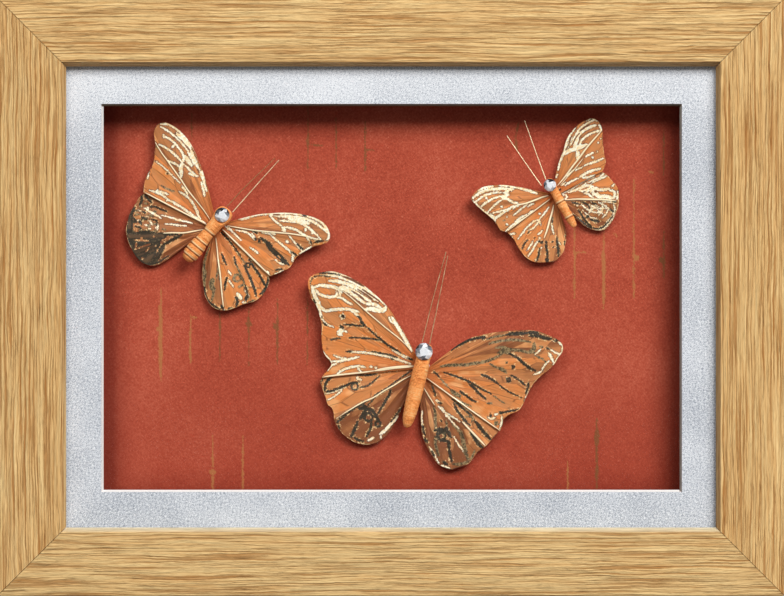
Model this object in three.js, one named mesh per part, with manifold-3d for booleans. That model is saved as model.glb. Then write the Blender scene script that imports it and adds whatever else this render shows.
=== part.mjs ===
// Framed butterflies: a deep oak frame, glazed, with a pale window mat and three craft
// butterflies raised on pads in front of a red board. Millimetres, +Z up. The front faces -Y,
// and the origin lies under the middle of the frame, on the face that it stands on.
import * as THREE from "three";
import { mergeVertices } from "three/addons/utils/BufferGeometryUtils.js";
import Module from "manifold-3d";

const wasm = await Module();
wasm.setup();

// Driving dimensions of the frame
const sightWidth = 296;
const sightHeight = 210;
const railFace = 31;
const frameDepth = 38;
const lipDepth = 5;
const rebateWidth = 7;
const edgeRadius = 2;
const mitreGap = 0.15;

// Layers in the rebate, from the front to the back
const glassThickness = 2;
const matThickness = 1.5;
const spacerDepth = 17;
const boardThickness = 3;
const panelThickness = 3;
const rebateClearance = 0.5;
const windowWidth = 262;
const windowHeight = 175;
const windowBevel = 0.75;
const spacerWidth = 9;

// Fixings on the back
const tabSize = { width: 7, length: 17, thickness: 0.75, buried: 4 };
const tabSlotGap = 0.3;
const tabSpread = 160;
const hanger = {
  length: 46,
  height: 10,
  thickness: 1,
  stand: 2,
  foot: 9,
  teeth: 9,
  toothDepth: 2,
  nailRadius: 2.5,
  nailHead: 0.75,
  below: 24,
};

// How a butterfly is built up above the board
const padHeight = 2.25;
const wingThickness = 0.5;
const hindwingTop = 3;
const forewingTop = 4.5;
const wingRise = 0.044;
const bodyClearance = 4.8;
const seatGap = 0.3;
const wireRadius = 0.28;
const wireSides = 6;
const wireSteps = 9;
const outlineSteps = 32;
const fanSteps = [0, 0.35, 0.7, 1];

const outerWidth = sightWidth + 2 * railFace;
const outerHeight = sightHeight + 2 * railFace;
const centreHeight = outerHeight / 2;
const frontY = -frameDepth / 2;
const backY = frameDepth / 2;
const glassY = frontY + lipDepth;
const matY = glassY + glassThickness;
const spacerY = matY + matThickness;
const boardY = spacerY + spacerDepth;
const panelY = boardY + boardThickness;
const panelBackY = panelY + panelThickness;
const layerWidth = sightWidth + 2 * (rebateWidth - rebateClearance);
const layerHeight = sightHeight + 2 * (rebateWidth - rebateClearance);

const finish = (color, roughness, metalness = 0) =>
  new THREE.MeshStandardMaterial({ color, roughness, metalness });

const materials = {
  oak: finish("#d0a670", 0.55),
  glass: new THREE.MeshStandardMaterial({
    color: "#f4f8f8",
    roughness: 0.03,
    transparent: true,
    opacity: 0.12,
  }),
  mat: finish("#d2d5d9", 0.9),
  redPaper: finish("#b04e38", 0.85),
  hardboard: finish("#7d5d40", 0.8),
  steel: finish("#a9abad", 0.35, 1),
  foam: finish("#e9e6df", 0.95),
  wing: finish("#c87d4a", 0.6),
  wrap: finish("#cf7a3f", 0.8),
  wire: finish("#b59a72", 0.4, 0.7),
  crystal: finish("#dfe6ee", 0.08, 0.3),
};

// The three butterflies. Points are in the butterfly's own plane: the first number runs to the
// right of the body, the second along the body towards the head, from the wing roots' middle.
// Each wing's outline runs from its leading edge round the tip to its trailing edge.
const butterflies = [
  {
    name: "large",
    centre: [13.6, 102.7],
    lean: 13.8,
    padRadius: 4.6,
    bodyAxis: 0,
    body: [
      [0, -27.6], [1.5, -26.8], [2.6, -24.2], [3.3, -18], [3.6, -8], [3.6, 0],
      [3.3, 4.6], [3.5, 7.2], [3.3, 10], [2.1, 11.8], [0, 12.3],
    ],
    headSeat: { from: 3.9, above: 1.9 },
    gem: { at: [-0.5, 8.4], radius: 4 },
    antennae: {
      left: [[-2.3, 12.5], [-2.2, 33], [-1.5, 55.3]],
      right: [[1.2, 12.5], [0.6, 30], [-0.3, 53.8]],
    },
    wings: {
      forewing_left: {
        leadingRoot: [-1.2, 3], trailingRoot: [-1.2, 0.2], crease: 0.46, creaseRise: 1.1,
        outline: [
          [-9, 12.2], [-14.5, 17.8], [-21, 23.9], [-28, 28.2], [-36, 31.8], [-44, 33.8],
          [-50, 34.1], [-55, 32.4], [-58.6, 30], [-59.8, 27.5], [-59, 24.2], [-56.5, 19.9],
          [-53.4, 16.8], [-51, 13], [-48.9, 9], [-47.8, 4], [-46, -1.5], [-44, -4.2],
          [-41.3, -6.2], [-40.4, -7.6], [-41.1, -10], [-42.9, -13.1], [-43.4, -14.8],
        ],
      },
      hindwing_left: {
        leadingRoot: [-1.2, 1], trailingRoot: [-1.2, -5], crease: 0.36, creaseRise: 0.9,
        outline: [
          [-40.5, -12.2], [-42.9, -14.6], [-43.5, -16.2], [-41.5, -19.7], [-39, -23.3],
          [-37.5, -25.9], [-35.5, -26.8], [-34, -29], [-33, -32], [-31.3, -34.3],
          [-28.5, -36.8], [-25, -38.6], [-21.5, -39.7], [-18, -39.8], [-14, -38.9],
          [-11, -37], [-8.5, -34], [-6.5, -30], [-5, -25],
        ],
      },
      forewing_right: {
        leadingRoot: [1.2, -0.8], trailingRoot: [1.2, -2.5], crease: 0.38, creaseRise: 0.9,
        outline: [
          [11.6, 12.3], [15, 16.2], [19.5, 19.9], [25, 22.8], [31, 25.4], [38, 27.8],
          [45, 29.6], [49.5, 29.8], [54, 29.1], [58, 28.3], [60.6, 26.4], [61.3, 23.5],
          [60, 20.4], [59, 17], [56.4, 13], [53.5, 9.1], [51.5, 5.1], [50.3, 0.4],
          [49.5, -4.1], [48.3, -7.3], [45, -10.1], [42.9, -12.5], [42.5, -13.6],
          [42.7, -16], [42, -19],
        ],
      },
      hindwing_right: {
        leadingRoot: [1.2, -1.5], trailingRoot: [1.2, -6], crease: 0.2, creaseRise: 0.9,
        outline: [
          [39.5, -16.6], [41.5, -19.2], [40.3, -21.9], [37.3, -27.3], [35, -30],
          [33.3, -33.5], [32, -36.5], [30, -38.3], [27.5, -39.8], [24.6, -41.4],
          [20.7, -41.1], [18.3, -40.3], [13.9, -36.4], [11.2, -33.8], [9.1, -30.9],
          [7.3, -27.5], [5.5, -22.5],
        ],
      },
    },
  },
  {
    name: "medium",
    centre: [-83.3, 166.2],
    lean: 39.6,
    padRadius: 4.2,
    bodyAxis: 0.2,
    body: [
      [0, -17.3], [1.9, -16.8], [3.4, -15], [3.9, -12], [3.8, -8.5], [3.2, -5], [2.9, -1.5],
      [3.2, 2.5], [3.3, 5.2], [4, 7.6], [4.2, 10], [3.2, 12.4], [1.4, 13.3], [0, 13.4],
    ],
    headSeat: { from: 5.6, above: 2.2 },
    gem: { at: [-0.1, 9.5], radius: 3.4 },
    antennae: {
      left: [[-1, 13.7], [-0.4, 25], [1.7, 45]],
      right: [[2.6, 13.4], [3.1, 29], [3.7, 45.5]],
    },
    wings: {
      forewing_left: {
        leadingRoot: [-1.2, 5.6], trailingRoot: [-1.2, 1.5], crease: 0.51, creaseRise: 0.9,
        outline: [
          [-12, 13.8], [-16, 16.6], [-20, 19.2], [-26, 22.5], [-31, 24.9],
          [-36, 26.4], [-41, 26.8], [-45, 26.3], [-48, 25.1], [-49.6, 22.4], [-49, 19.3],
          [-46.8, 16.9], [-44.5, 14.8], [-42.3, 11.5], [-40, 8], [-39.2, 5], [-38.8, 2.4],
          [-38, -0.4], [-36.5, -3.2], [-34.7, -5.7],
        ],
      },
      hindwing_left: {
        leadingRoot: [-1.2, 2.2], trailingRoot: [-2.2, -3], crease: 0.5, creaseRise: 0.8,
        outline: [
          [-32.5, -3.8], [-34.3, -5.9], [-34.9, -8], [-34.6, -11], [-34, -15], [-33.3, -18],
          [-31.9, -20.7], [-30.5, -23.5], [-28, -26], [-25.5, -27.8], [-22.5, -29.2],
          [-19.5, -30.4], [-16, -31], [-13.5, -30.6], [-11, -29.5], [-9, -27.3],
          [-7.5, -24.5], [-6.5, -21.5],
        ],
      },
      forewing_right: {
        leadingRoot: [1.2, 5.2], trailingRoot: [1.2, 4.3], crease: 0.52, creaseRise: 0.9,
        outline: [
          [9.5, 16.8], [12.5, 20.5], [16, 24], [21, 28.5], [26, 32], [31, 34.7],
          [35, 36], [38.5, 36.3], [42, 35.2], [44.3, 33.1], [44.8, 30.9], [43.8, 28.5],
          [41.8, 25.9], [40.3, 22.4], [39, 18.9], [38.3, 16], [38.8, 13], [38.8, 10],
          [38, 8.3], [36.8, 5.8], [35.3, 3.2], [34.2, 1.6],
        ],
      },
      hindwing_right: {
        leadingRoot: [1.2, 4], trailingRoot: [2.2, -1], crease: 0.48, creaseRise: 0.8,
        outline: [
          [32.5, 2.6], [34.3, 1.1], [35.5, 0], [36.6, -2.4], [37.3, -5.5], [37.2, -8.5],
          [36.3, -11.6], [34.7, -14], [33, -16.6], [31.7, -19], [30, -21.8], [28.3, -23.9],
          [26, -25.2], [23, -26], [20, -25.4], [17, -24.1], [14.3, -21.9], [11.5, -19.4],
          [8.5, -15.8], [6, -12.4],
        ],
      },
    },
  },
  {
    name: "small",
    centre: [76.1, 181.8],
    lean: -30.1,
    padRadius: 3.2,
    bodyAxis: 0.4,
    body: [
      [0, -16.2], [1.1, -15.7], [1.7, -13.6], [2.1, -10.8], [2, -8], [2.2, -3.4], [2.1, 0],
      [2.1, 3.4], [2.4, 5.4], [2.4, 7.4], [1.5, 9], [0, 9.4],
    ],
    headSeat: { from: 3.2, above: 1.3 },
    gem: { at: [0, 6.4], radius: 2.9 },
    antennae: {
      left: [[-3.4, 8.2], [-4.4, 20], [-5.5, 36]],
      right: [[-0.2, 9.7], [2, 22], [5, 38]],
    },
    wings: {
      forewing_left: {
        leadingRoot: [-1, 2.5], trailingRoot: [-1, 0.7], crease: 0.63, creaseRise: 0.7,
        outline: [
          [-11, 11.5], [-14, 14], [-18, 17], [-22, 19.2], [-26, 20.9],
          [-29, 21.2], [-32, 20.5], [-34.3, 19.3], [-34.5, 18], [-33.7, 15], [-32.7, 12],
          [-31.5, 9], [-30.5, 6], [-30, 3], [-29.8, 0], [-28.6, -1.6], [-27.8, -2.5],
        ],
      },
      hindwing_left: {
        leadingRoot: [-1, 1.6], trailingRoot: [-1, -3], crease: 0.5, creaseRise: 0.6,
        outline: [
          [-26, -1.2], [-27.5, -2.8], [-27, -4.6], [-26.6, -8], [-26.8, -11], [-26.5, -14],
          [-25.8, -17], [-24.5, -19.5], [-22.5, -21.5], [-19.5, -23.2], [-16.5, -24.6],
          [-14.5, -24.9], [-12, -24.2], [-9.5, -23], [-7.5, -21], [-5.5, -18.5], [-4, -15.5],
          [-2.8, -12],
        ],
      },
      forewing_right: {
        leadingRoot: [1, 4.4], trailingRoot: [1, 0.8], crease: 0.55, creaseRise: 0.7,
        outline: [
          [5, 9.3], [8, 12.5], [11, 15], [13.5, 17], [16, 19.5], [19, 21.8], [22, 23],
          [25, 23.8], [28, 24], [31, 23.7], [33, 22.5], [34.3, 20.3], [34.2, 18], [33.4, 15.8],
          [31.8, 12.5], [30.3, 9.5], [29, 6.5], [28.2, 4], [27.6, 2.5], [26, 1], [24.2, -0.2],
        ],
      },
      hindwing_right: {
        leadingRoot: [1, 1.6], trailingRoot: [1, -3], crease: 0.4, creaseRise: 0.6,
        outline: [
          [22.5, 1], [24, -0.4], [25, -2], [25.6, -4], [26, -6.5], [26.5, -9], [26.4, -11.3],
          [25.2, -13.5], [24, -15.8], [22.3, -18], [20, -20], [17.5, -22], [14.5, -23.3],
          [11.5, -23.8], [9, -22.7], [6.5, -20.5], [4.5, -17.5], [3.2, -14],
        ],
      },
    },
  },
];

const root = new THREE.Group();

function addMesh(parent, name, geometry, material) {
  const mesh = new THREE.Mesh(geometry, material);
  mesh.name = name;
  parent.add(mesh);
  return mesh;
}

function boxBetween(x0, x1, y0, y1, z0, z1) {
  const box = new THREE.BoxGeometry(x1 - x0, y1 - y0, z1 - z0);
  return box.translate((x0 + x1) / 2, (y0 + y1) / 2, (z0 + z1) / 2);
}

// A geometry as a solid that can be cut and joined
function solidOf(geometry) {
  const bare = new THREE.BufferGeometry();
  bare.setAttribute("position", geometry.getAttribute("position"));
  bare.setIndex(geometry.index);
  const merged = mergeVertices(bare, 1e-4);
  return new wasm.Manifold(
    new wasm.Mesh({
      numProp: 3,
      vertProperties: merged.attributes.position.array,
      triVerts: new Uint32Array(merged.index.array),
    }),
  );
}

function geometryOf(solid) {
  const { vertProperties, triVerts } = solid.getMesh();
  const geometry = new THREE.BufferGeometry();
  geometry.setAttribute("position", new THREE.BufferAttribute(vertProperties, 3));
  geometry.setIndex(new THREE.BufferAttribute(triVerts, 1));
  return geometry;
}

const polygon = (points) => new THREE.Shape(points.map(([x, y]) => new THREE.Vector2(x, y)));

// A rail's section: across from the sight edge outwards, and depth from the front. The front
// edges are rounded, and the rebate is cut out behind the lip.
function railSection() {
  const section = new THREE.Shape();
  section.moveTo(0, edgeRadius);
  section.absarc(edgeRadius, edgeRadius, edgeRadius, Math.PI, 1.5 * Math.PI);
  section.lineTo(railFace - edgeRadius, 0);
  section.absarc(railFace - edgeRadius, edgeRadius, edgeRadius, 1.5 * Math.PI, 2 * Math.PI);
  section.lineTo(railFace, frameDepth);
  section.lineTo(rebateWidth, frameDepth);
  section.lineTo(rebateWidth, lipDepth);
  section.lineTo(0, lipDepth);
  return section;
}

// A rail lies along X with its sight edge at Z = 0 and its outside towards -Z. The section is
// extruded by one unit, and each end is then moved out along its mitre.
function railGeometry(sightLength) {
  const rail = new THREE.ExtrudeGeometry(railSection(), {
    depth: 1,
    bevelEnabled: false,
    curveSegments: 4,
  });
  const place = rail.getAttribute("position");
  for (let i = 0; i < place.count; i += 1) {
    const across = place.getX(i);
    const depth = place.getY(i);
    const end = place.getZ(i) > 0.5 ? 1 : -1;
    place.setXYZ(i, end * (sightLength / 2 + across - mitreGap), frontY + depth, -across);
  }
  return rail;
}

// Bent steel points that hold the back panel: a blade with a rounded tip, in a slot in the rail
function tabShape() {
  const half = tabSize.width / 2;
  const shape = new THREE.Shape();
  shape.moveTo(-half, -tabSize.buried);
  shape.lineTo(half, -tabSize.buried);
  shape.lineTo(half, tabSize.length - tabSize.buried - half);
  shape.absarc(0, tabSize.length - tabSize.buried - half, half, 0, Math.PI);
  return shape;
}

// One side of the frame with its tabs. The group is turned about Y by quarter turns, and the
// sight edge is the given distance from the middle.
function addSide(name, sightLength, reach, turn, tabPlaces) {
  const side = new THREE.Group();
  side.position.set(0, 0, centreHeight);
  side.rotation.y = turn;
  root.add(side);

  let rail = solidOf(railGeometry(sightLength));
  for (const place of tabPlaces) {
    const slot = boxBetween(
      place - tabSize.width / 2 - tabSlotGap,
      place + tabSize.width / 2 + tabSlotGap,
      panelBackY - tabSlotGap,
      panelBackY + tabSize.thickness + tabSlotGap,
      -rebateWidth - tabSize.buried - tabSlotGap,
      -rebateWidth + 1,
    );
    rail = rail.subtract(solidOf(slot));
  }
  const railMesh = addMesh(side, `rail_${name}`, geometryOf(rail), materials.oak);
  railMesh.position.z = -reach;

  tabPlaces.forEach((place, i) => {
    const blade = new THREE.ExtrudeGeometry(tabShape(), {
      depth: tabSize.thickness,
      bevelEnabled: false,
      curveSegments: 5,
    });
    blade.rotateX(Math.PI / 2);
    const label = tabPlaces.length > 1 ? `fixing_tab_${name}_${i + 1}` : `fixing_tab_${name}`;
    const tab = addMesh(side, label, blade, materials.steel);
    tab.position.set(place, panelBackY + tabSize.thickness, -reach - rebateWidth);
  });
}

function addFrame() {
  const pair = [-tabSpread / 2, tabSpread / 2];
  addSide("bottom", sightWidth, sightHeight / 2, 0, pair);
  addSide("left", sightHeight, sightWidth / 2, Math.PI / 2, [0]);
  addSide("top", sightWidth, sightHeight / 2, Math.PI, pair);
  addSide("right", sightHeight, sightWidth / 2, -Math.PI / 2, [0]);
}

const sheet = (width, height, y0, y1) =>
  boxBetween(-width / 2, width / 2, y0, y1, centreHeight - height / 2, centreHeight + height / 2);

// The mat's window has a bevel that opens towards the front: a frustum cut out of the card
function matGeometry() {
  const card = solidOf(sheet(layerWidth, layerHeight, matY, spacerY));
  const overrun = 1;
  const flare = (overrun * windowBevel) / matThickness;
  const depth = matThickness + 2 * overrun;
  const frustum = new THREE.BoxGeometry(1, depth, 1);
  frustum.translate(0, matY - overrun + depth / 2, 0);
  const place = frustum.getAttribute("position");
  for (let i = 0; i < place.count; i += 1) {
    const grow = place.getY(i) < matY ? windowBevel + flare : -flare;
    place.setX(i, Math.sign(place.getX(i)) * (windowWidth / 2 + grow));
    place.setZ(i, centreHeight + Math.sign(place.getZ(i)) * (windowHeight / 2 + grow));
  }
  return geometryOf(card.subtract(solidOf(frustum)));
}

function addLayers() {
  addMesh(root, "glass_pane", sheet(layerWidth, layerHeight, glassY, matY), materials.glass);
  addMesh(root, "window_mat", matGeometry(), materials.mat);
  addMesh(root, "red_board", sheet(layerWidth, layerHeight, boardY, panelY), materials.redPaper);
  addMesh(root, "back_panel", sheet(layerWidth, layerHeight, panelY, panelBackY), materials.hardboard);

  const x = layerWidth / 2;
  const low = centreHeight - layerHeight / 2;
  const high = centreHeight + layerHeight / 2;
  const strips = {
    bottom: [-x, x, low, low + spacerWidth],
    top: [-x, x, high - spacerWidth, high],
    left: [-x, spacerWidth - x, low + spacerWidth, high - spacerWidth],
    right: [x - spacerWidth, x, low + spacerWidth, high - spacerWidth],
  };
  for (const [name, [x0, x1, z0, z1]] of Object.entries(strips)) {
    addMesh(root, `spacer_${name}`, boxBetween(x0, x1, spacerY, boardY, z0, z1), materials.redPaper);
  }
}

// A sawtooth hanger: a strip with its two feet on the panel, its middle standing clear, and
// teeth along the lower edge of the middle for a nail to catch in
function addHanger() {
  const { length, height, thickness, stand, foot } = hanger;
  const half = length / 2;
  const inner = half - foot;
  const ramp = inner - stand;
  const strip = new THREE.ExtrudeGeometry(
    polygon([
      [-half, 0], [-inner, 0], [-ramp, stand], [ramp, stand], [inner, 0], [half, 0],
      [half, thickness], [inner + thickness / 2, thickness], [ramp + thickness / 2, stand + thickness],
      [-ramp - thickness / 2, stand + thickness], [-inner - thickness / 2, thickness], [-half, thickness],
    ]),
    { depth: height, bevelEnabled: false },
  );
  let plate = solidOf(strip);

  const pitch = (2 * ramp) / hanger.teeth;
  for (let i = 0; i < hanger.teeth; i += 1) {
    const left = -ramp + i * pitch;
    const notch = new THREE.ExtrudeGeometry(
      polygon([[left, -1], [left + pitch, -1], [left + pitch / 2, hanger.toothDepth]]),
      { depth: stand + 2 * thickness, bevelEnabled: false },
    );
    notch.rotateX(Math.PI / 2).translate(0, stand + 1.5 * thickness, 0);
    plate = plate.subtract(solidOf(notch));
  }
  for (const side of [-1, 1]) {
    const head = new THREE.CylinderGeometry(hanger.nailRadius, hanger.nailRadius, hanger.nailHead, 12);
    head.translate(side * (half - foot / 2), thickness + hanger.nailHead / 2 - 0.1, height / 2);
    plate = plate.add(solidOf(head));
  }
  const mesh = addMesh(root, "sawtooth_hanger", geometryOf(plate), materials.steel);
  mesh.position.set(0, panelBackY, centreHeight + layerHeight / 2 - hanger.below);
}

// How far a wing's skin stands off its flat shape: a roof along the main crease and soft pleats
// on both sides of it, dying out at the root and easing off towards the margin
function wingRelief({ crease, creaseRise }, along, out) {
  const creaseHalf = Math.min(0.34, crease, 1 - crease);
  const pleats = 6;
  const pleatRise = 0.28;
  const roof = creaseRise * Math.max(0, 1 - Math.abs(along - crease) / creaseHalf);
  const wave = pleatRise * Math.sin(Math.PI * pleats * along) ** 2;
  return (roof + wave) * Math.sin(Math.PI * Math.min(1, 0.8 * out)) ** 0.8;
}

// A wing is a thin sheet fanned out from the root line under the body to a smooth outline, and
// it rises gently away from the body. The front faces -Y.
function wingGeometry(wing, top) {
  const toVector = ([u, v]) => new THREE.Vector3(u, 0, v);
  const edge = new THREE.CatmullRomCurve3(wing.outline.map(toVector)).getSpacedPoints(outlineSteps);
  const leading = toVector(wing.leadingRoot);
  const trailing = toVector(wing.trailingRoot);
  const rows = fanSteps.length;
  const front = [];
  edge.forEach((end, i) => {
    const along = i / outlineSteps;
    const start = leading.clone().lerp(trailing, along);
    for (const out of fanSteps) {
      const point = start.clone().lerp(end, out);
      point.y = -(top + wingRise * Math.abs(point.x) + wingRelief(wing, along, out));
      front.push(point);
    }
  });
  const back = front.map((p) => new THREE.Vector3(p.x, p.y + wingThickness, p.z));
  const positions = [...front, ...back].flatMap((p) => [p.x, p.y, p.z]);

  const at = (i, j) => i * rows + j;
  const behind = front.length;
  const isLeft = wing.outline[0][0] < 0;
  const index = [];
  const quad = (a, b, c, d) => index.push(...(isLeft ? [a, b, c, a, c, d] : [a, c, b, a, d, c]));
  for (let i = 0; i < outlineSteps; i += 1) {
    for (let j = 0; j < rows - 1; j += 1) {
      quad(at(i, j), at(i, j + 1), at(i + 1, j + 1), at(i + 1, j));
      quad(behind + at(i, j), behind + at(i + 1, j), behind + at(i + 1, j + 1), behind + at(i, j + 1));
    }
  }
  const rim = [];
  for (let i = 0; i < outlineSteps; i += 1) rim.push(at(i, rows - 1));
  for (let j = rows - 1; j > 0; j -= 1) rim.push(at(outlineSteps, j));
  for (let i = outlineSteps; i > 0; i -= 1) rim.push(at(i, 0));
  for (let j = 0; j < rows - 1; j += 1) rim.push(at(0, j));
  rim.forEach((a, i) => {
    const b = rim[(i + 1) % rim.length];
    quad(a, behind + a, behind + b, b);
  });

  const geometry = new THREE.BufferGeometry();
  geometry.setAttribute("position", new THREE.Float32BufferAttribute(positions, 3));
  geometry.setIndex(index);
  return geometry;
}

// The body is a wrapped spindle turned about its length, with a flat on the head for the stone
function bodyGeometry({ body, bodyAxis, headSeat }, axisHeight) {
  const sides = 12;
  const profile = body.map(([radius, along]) => new THREE.Vector2(radius, along));
  const spindle = new THREE.LatheGeometry(profile, sides);
  spindle.rotateX(Math.PI / 2).translate(bodyAxis, -axisHeight, 0);
  const reach = 20;
  const seat = axisHeight + headSeat.above;
  const flat = boxBetween(-reach, reach, -seat - reach, -seat, headSeat.from, headSeat.from + reach);
  return geometryOf(solidOf(spindle).subtract(solidOf(flat)));
}

// A flat-backed cut stone: girdle, a ring of crown facets, a second ring, and a table
function gemGeometry(radius) {
  const facets = 10;
  const profile = [[0, 0], [1, 0], [1, 0.12], [0.8, 0.38], [0.48, 0.55], [0, 0.55]];
  const points = profile.map(([r, h]) => new THREE.Vector2(r * radius, h * radius));
  return new THREE.LatheGeometry(points, facets).rotateX(Math.PI);
}

// A thin wire that leaves the head level and settles a little towards the board at its tip
function wireGeometry(points, startHeight) {
  const tipDrop = 2;
  const last = points.length - 1;
  const path = new THREE.CatmullRomCurve3(
    points.map(([u, v], i) => new THREE.Vector3(u, -(startHeight - (tipDrop * i) / last), v)),
  );
  const section = [];
  for (let i = 0; i < wireSides; i += 1) {
    const angle = (2 * Math.PI * i) / wireSides;
    section.push([wireRadius * Math.cos(angle), wireRadius * Math.sin(angle)]);
  }
  return new THREE.ExtrudeGeometry(polygon(section), { steps: wireSteps, extrudePath: path });
}

function addButterfly(butterfly) {
  const group = new THREE.Group();
  const [across, up] = butterfly.centre;
  group.position.set(across, boardY, up);
  group.rotation.y = THREE.MathUtils.degToRad(butterfly.lean);
  root.add(group);

  const bodyRadius = Math.max(...butterfly.body.map(([radius]) => radius));
  const axisHeight = bodyClearance + bodyRadius;
  const nameOf = (piece) => `${butterfly.name}_${piece}`;

  for (const [piece, wing] of Object.entries(butterfly.wings)) {
    const top = piece.startsWith("fore") ? forewingTop : hindwingTop;
    addMesh(group, nameOf(piece), wingGeometry(wing, top), materials.wing);
  }
  addMesh(group, nameOf("body"), bodyGeometry(butterfly, axisHeight), materials.wrap);

  const gem = addMesh(group, nameOf("gem"), gemGeometry(butterfly.gem.radius), materials.crystal);
  const [gemAcross, gemUp] = butterfly.gem.at;
  gem.position.set(gemAcross, -(axisHeight + butterfly.headSeat.above + seatGap), gemUp);

  for (const [side, points] of Object.entries(butterfly.antennae)) {
    addMesh(group, nameOf(`antenna_${side}`), wireGeometry(points, axisHeight), materials.wire);
  }

  const pad = new THREE.CylinderGeometry(butterfly.padRadius, butterfly.padRadius, padHeight, 16);
  const padMesh = addMesh(group, nameOf("foam_pad"), pad, materials.foam);
  padMesh.position.y = -padHeight / 2;
}

addFrame();
addLayers();
addHanger();
butterflies.forEach(addButterfly);

export default root;
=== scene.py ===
import math

import bpy
import numpy as np
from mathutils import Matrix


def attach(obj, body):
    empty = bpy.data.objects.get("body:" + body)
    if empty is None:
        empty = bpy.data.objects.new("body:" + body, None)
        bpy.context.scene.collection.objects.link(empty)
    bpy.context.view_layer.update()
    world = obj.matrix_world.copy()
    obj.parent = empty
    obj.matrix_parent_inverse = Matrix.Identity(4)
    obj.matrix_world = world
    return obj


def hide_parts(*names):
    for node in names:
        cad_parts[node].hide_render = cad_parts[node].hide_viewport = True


# Three craft butterflies in a deep oak frame: glass, a pale window mat and a red board behind it.
# Lengths are millimetres unless a note says otherwise. The front faces -y, the foot stands on z = 0.
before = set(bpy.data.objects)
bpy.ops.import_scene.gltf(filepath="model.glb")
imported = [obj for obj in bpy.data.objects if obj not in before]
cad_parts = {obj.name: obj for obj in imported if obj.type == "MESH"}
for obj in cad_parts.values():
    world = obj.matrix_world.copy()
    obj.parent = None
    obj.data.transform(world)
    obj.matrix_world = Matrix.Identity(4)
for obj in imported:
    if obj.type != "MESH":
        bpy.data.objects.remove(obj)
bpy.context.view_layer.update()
mm = 0.001


class Signal:
    # One node output. Arithmetic on it adds Math nodes to the same material.
    def __init__(self, paint, socket):
        self.paint, self.socket = paint, socket

    def math(self, operation, *values):
        return self.paint.node("ShaderNodeMath", {"operation": operation}, values)

    def __add__(self, other):
        return self.math("ADD", self, other)

    def __sub__(self, other):
        return self.math("SUBTRACT", self, other)

    def __rsub__(self, other):
        return self.math("SUBTRACT", other, self)

    def __mul__(self, other):
        return self.math("MULTIPLY", self, other)

    __radd__, __rmul__ = __add__, __mul__

    def ease(self, low, high):  # 0 at low, 1 at high, smooth between; low may be the larger
        return self.paint.node(
            "ShaderNodeMapRange", {"interpolation_type": "SMOOTHSTEP"}, [self, low, high, 0.0, 1.0]
        )


def tint(colour):  # a screen colour, 0 to 255, as scene-linear light
    c = np.array(colour) / 255
    return (*np.where(c <= 0.04045, c / 12.92, ((c + 0.055) / 1.055) ** 2.4).tolist(), 1.0)


class Paint:
    # A material and the nodes in it
    def __init__(self, name):
        self.material = bpy.data.materials.new(name)
        self.material.use_nodes = True
        self.tree = self.material.node_tree
        self.tree.nodes.clear()

    def node(self, kind, settings=None, inputs=(), out=0):
        # inputs are values or signals, in the order of the node's sockets or under their names
        made = self.tree.nodes.new(kind)
        for key, value in (settings or {}).items():
            if key == "stops":
                ramp = made.color_ramp
                while len(ramp.elements) < len(value):
                    ramp.elements.new(1.0)
                for element, (position, colour) in zip(ramp.elements, value):
                    element.position, element.color = position, colour
            else:
                setattr(made, key, value)
        for key, value in inputs.items() if isinstance(inputs, dict) else enumerate(inputs):
            if isinstance(value, Signal):
                self.tree.links.new(value.socket, made.inputs[key])
            else:
                made.inputs[key].default_value = value
        return Signal(self, made.outputs[out])

    def place(self):  # Object coordinates, in metres
        return self.node("ShaderNodeTexCoord", out="Object")

    def axis(self, vector, name):
        return self.node("ShaderNodeSeparateXYZ", None, [vector], name)

    def map(self, name):
        return self.node("ShaderNodeUVMap", {"uv_map": name})

    def mark(self, name):
        return self.node("ShaderNodeAttribute", {"attribute_name": name}, out="Fac")

    def laid(self, vector, size, turn):
        # the vector counted in features of a size, one number or one along each axis, after a turn in radians
        scale = size if isinstance(size, tuple) else (size, size, size)
        inputs = {"Vector": vector, "Scale": scale, "Rotation": turn}
        return self.node("ShaderNodeMapping", {"vector_type": "TEXTURE"}, inputs)

    def noise(self, vector, size, detail=2.0, turn=(0.0, 0.0, 0.0), rough=0.5):  # turn in degrees
        laid = self.laid(vector, size, tuple(math.radians(a) for a in turn))
        inputs = {"Vector": laid, "Scale": 1.0, "Detail": detail, "Roughness": rough}
        return self.node("ShaderNodeTexNoise", None, inputs)

    def ramp(self, value, *stops):  # each stop is a position and a screen colour
        lit = [(position, tint(colour)) for position, colour in stops]
        return self.node("ShaderNodeValToRGB", {"stops": lit}, [value])

    def mix(self, amount, first, second):  # each colour is a signal or a screen colour
        first, second = (c if isinstance(c, Signal) else tint(c) for c in (first, second))
        return self.node("ShaderNodeMix", {"data_type": "RGBA"}, {0: amount, 6: first, 7: second}, 2)

    def bump(self, height):  # height in millimetres
        return self.node("ShaderNodeBump", None, {"Height": height, "Distance": mm, "Strength": 1.0})

    def surface(self, **sockets):
        names = {key.replace("_", " "): value for key, value in sockets.items()}
        shader = self.node("ShaderNodeBsdfPrincipled", None, names)
        output = self.tree.nodes.new("ShaderNodeOutputMaterial")
        self.tree.links.new(shader.socket, output.inputs["Surface"])
        return self.material


def gridQuads(rows, columns, first=0, wrap=False):
    # the quads of a grid of points numbered row by row; wrap joins the last column to the first
    index = first + np.arange(rows * columns).reshape(rows, columns)
    if wrap:
        index = np.concatenate([index, index[:, :1]], 1)
    return np.stack([index[:-1, :-1], index[:-1, 1:], index[1:, 1:], index[1:, :-1]], -1).reshape(-1, 4)


def tubeFaces(rings, around):
    # closed rings of points joined one to the next, with a cap on the first and on the last
    number = np.arange(rings * around).reshape(rings, around)
    return [gridQuads(rings, around, 0, True), number[:1, ::-1], number[-1:]]


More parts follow.
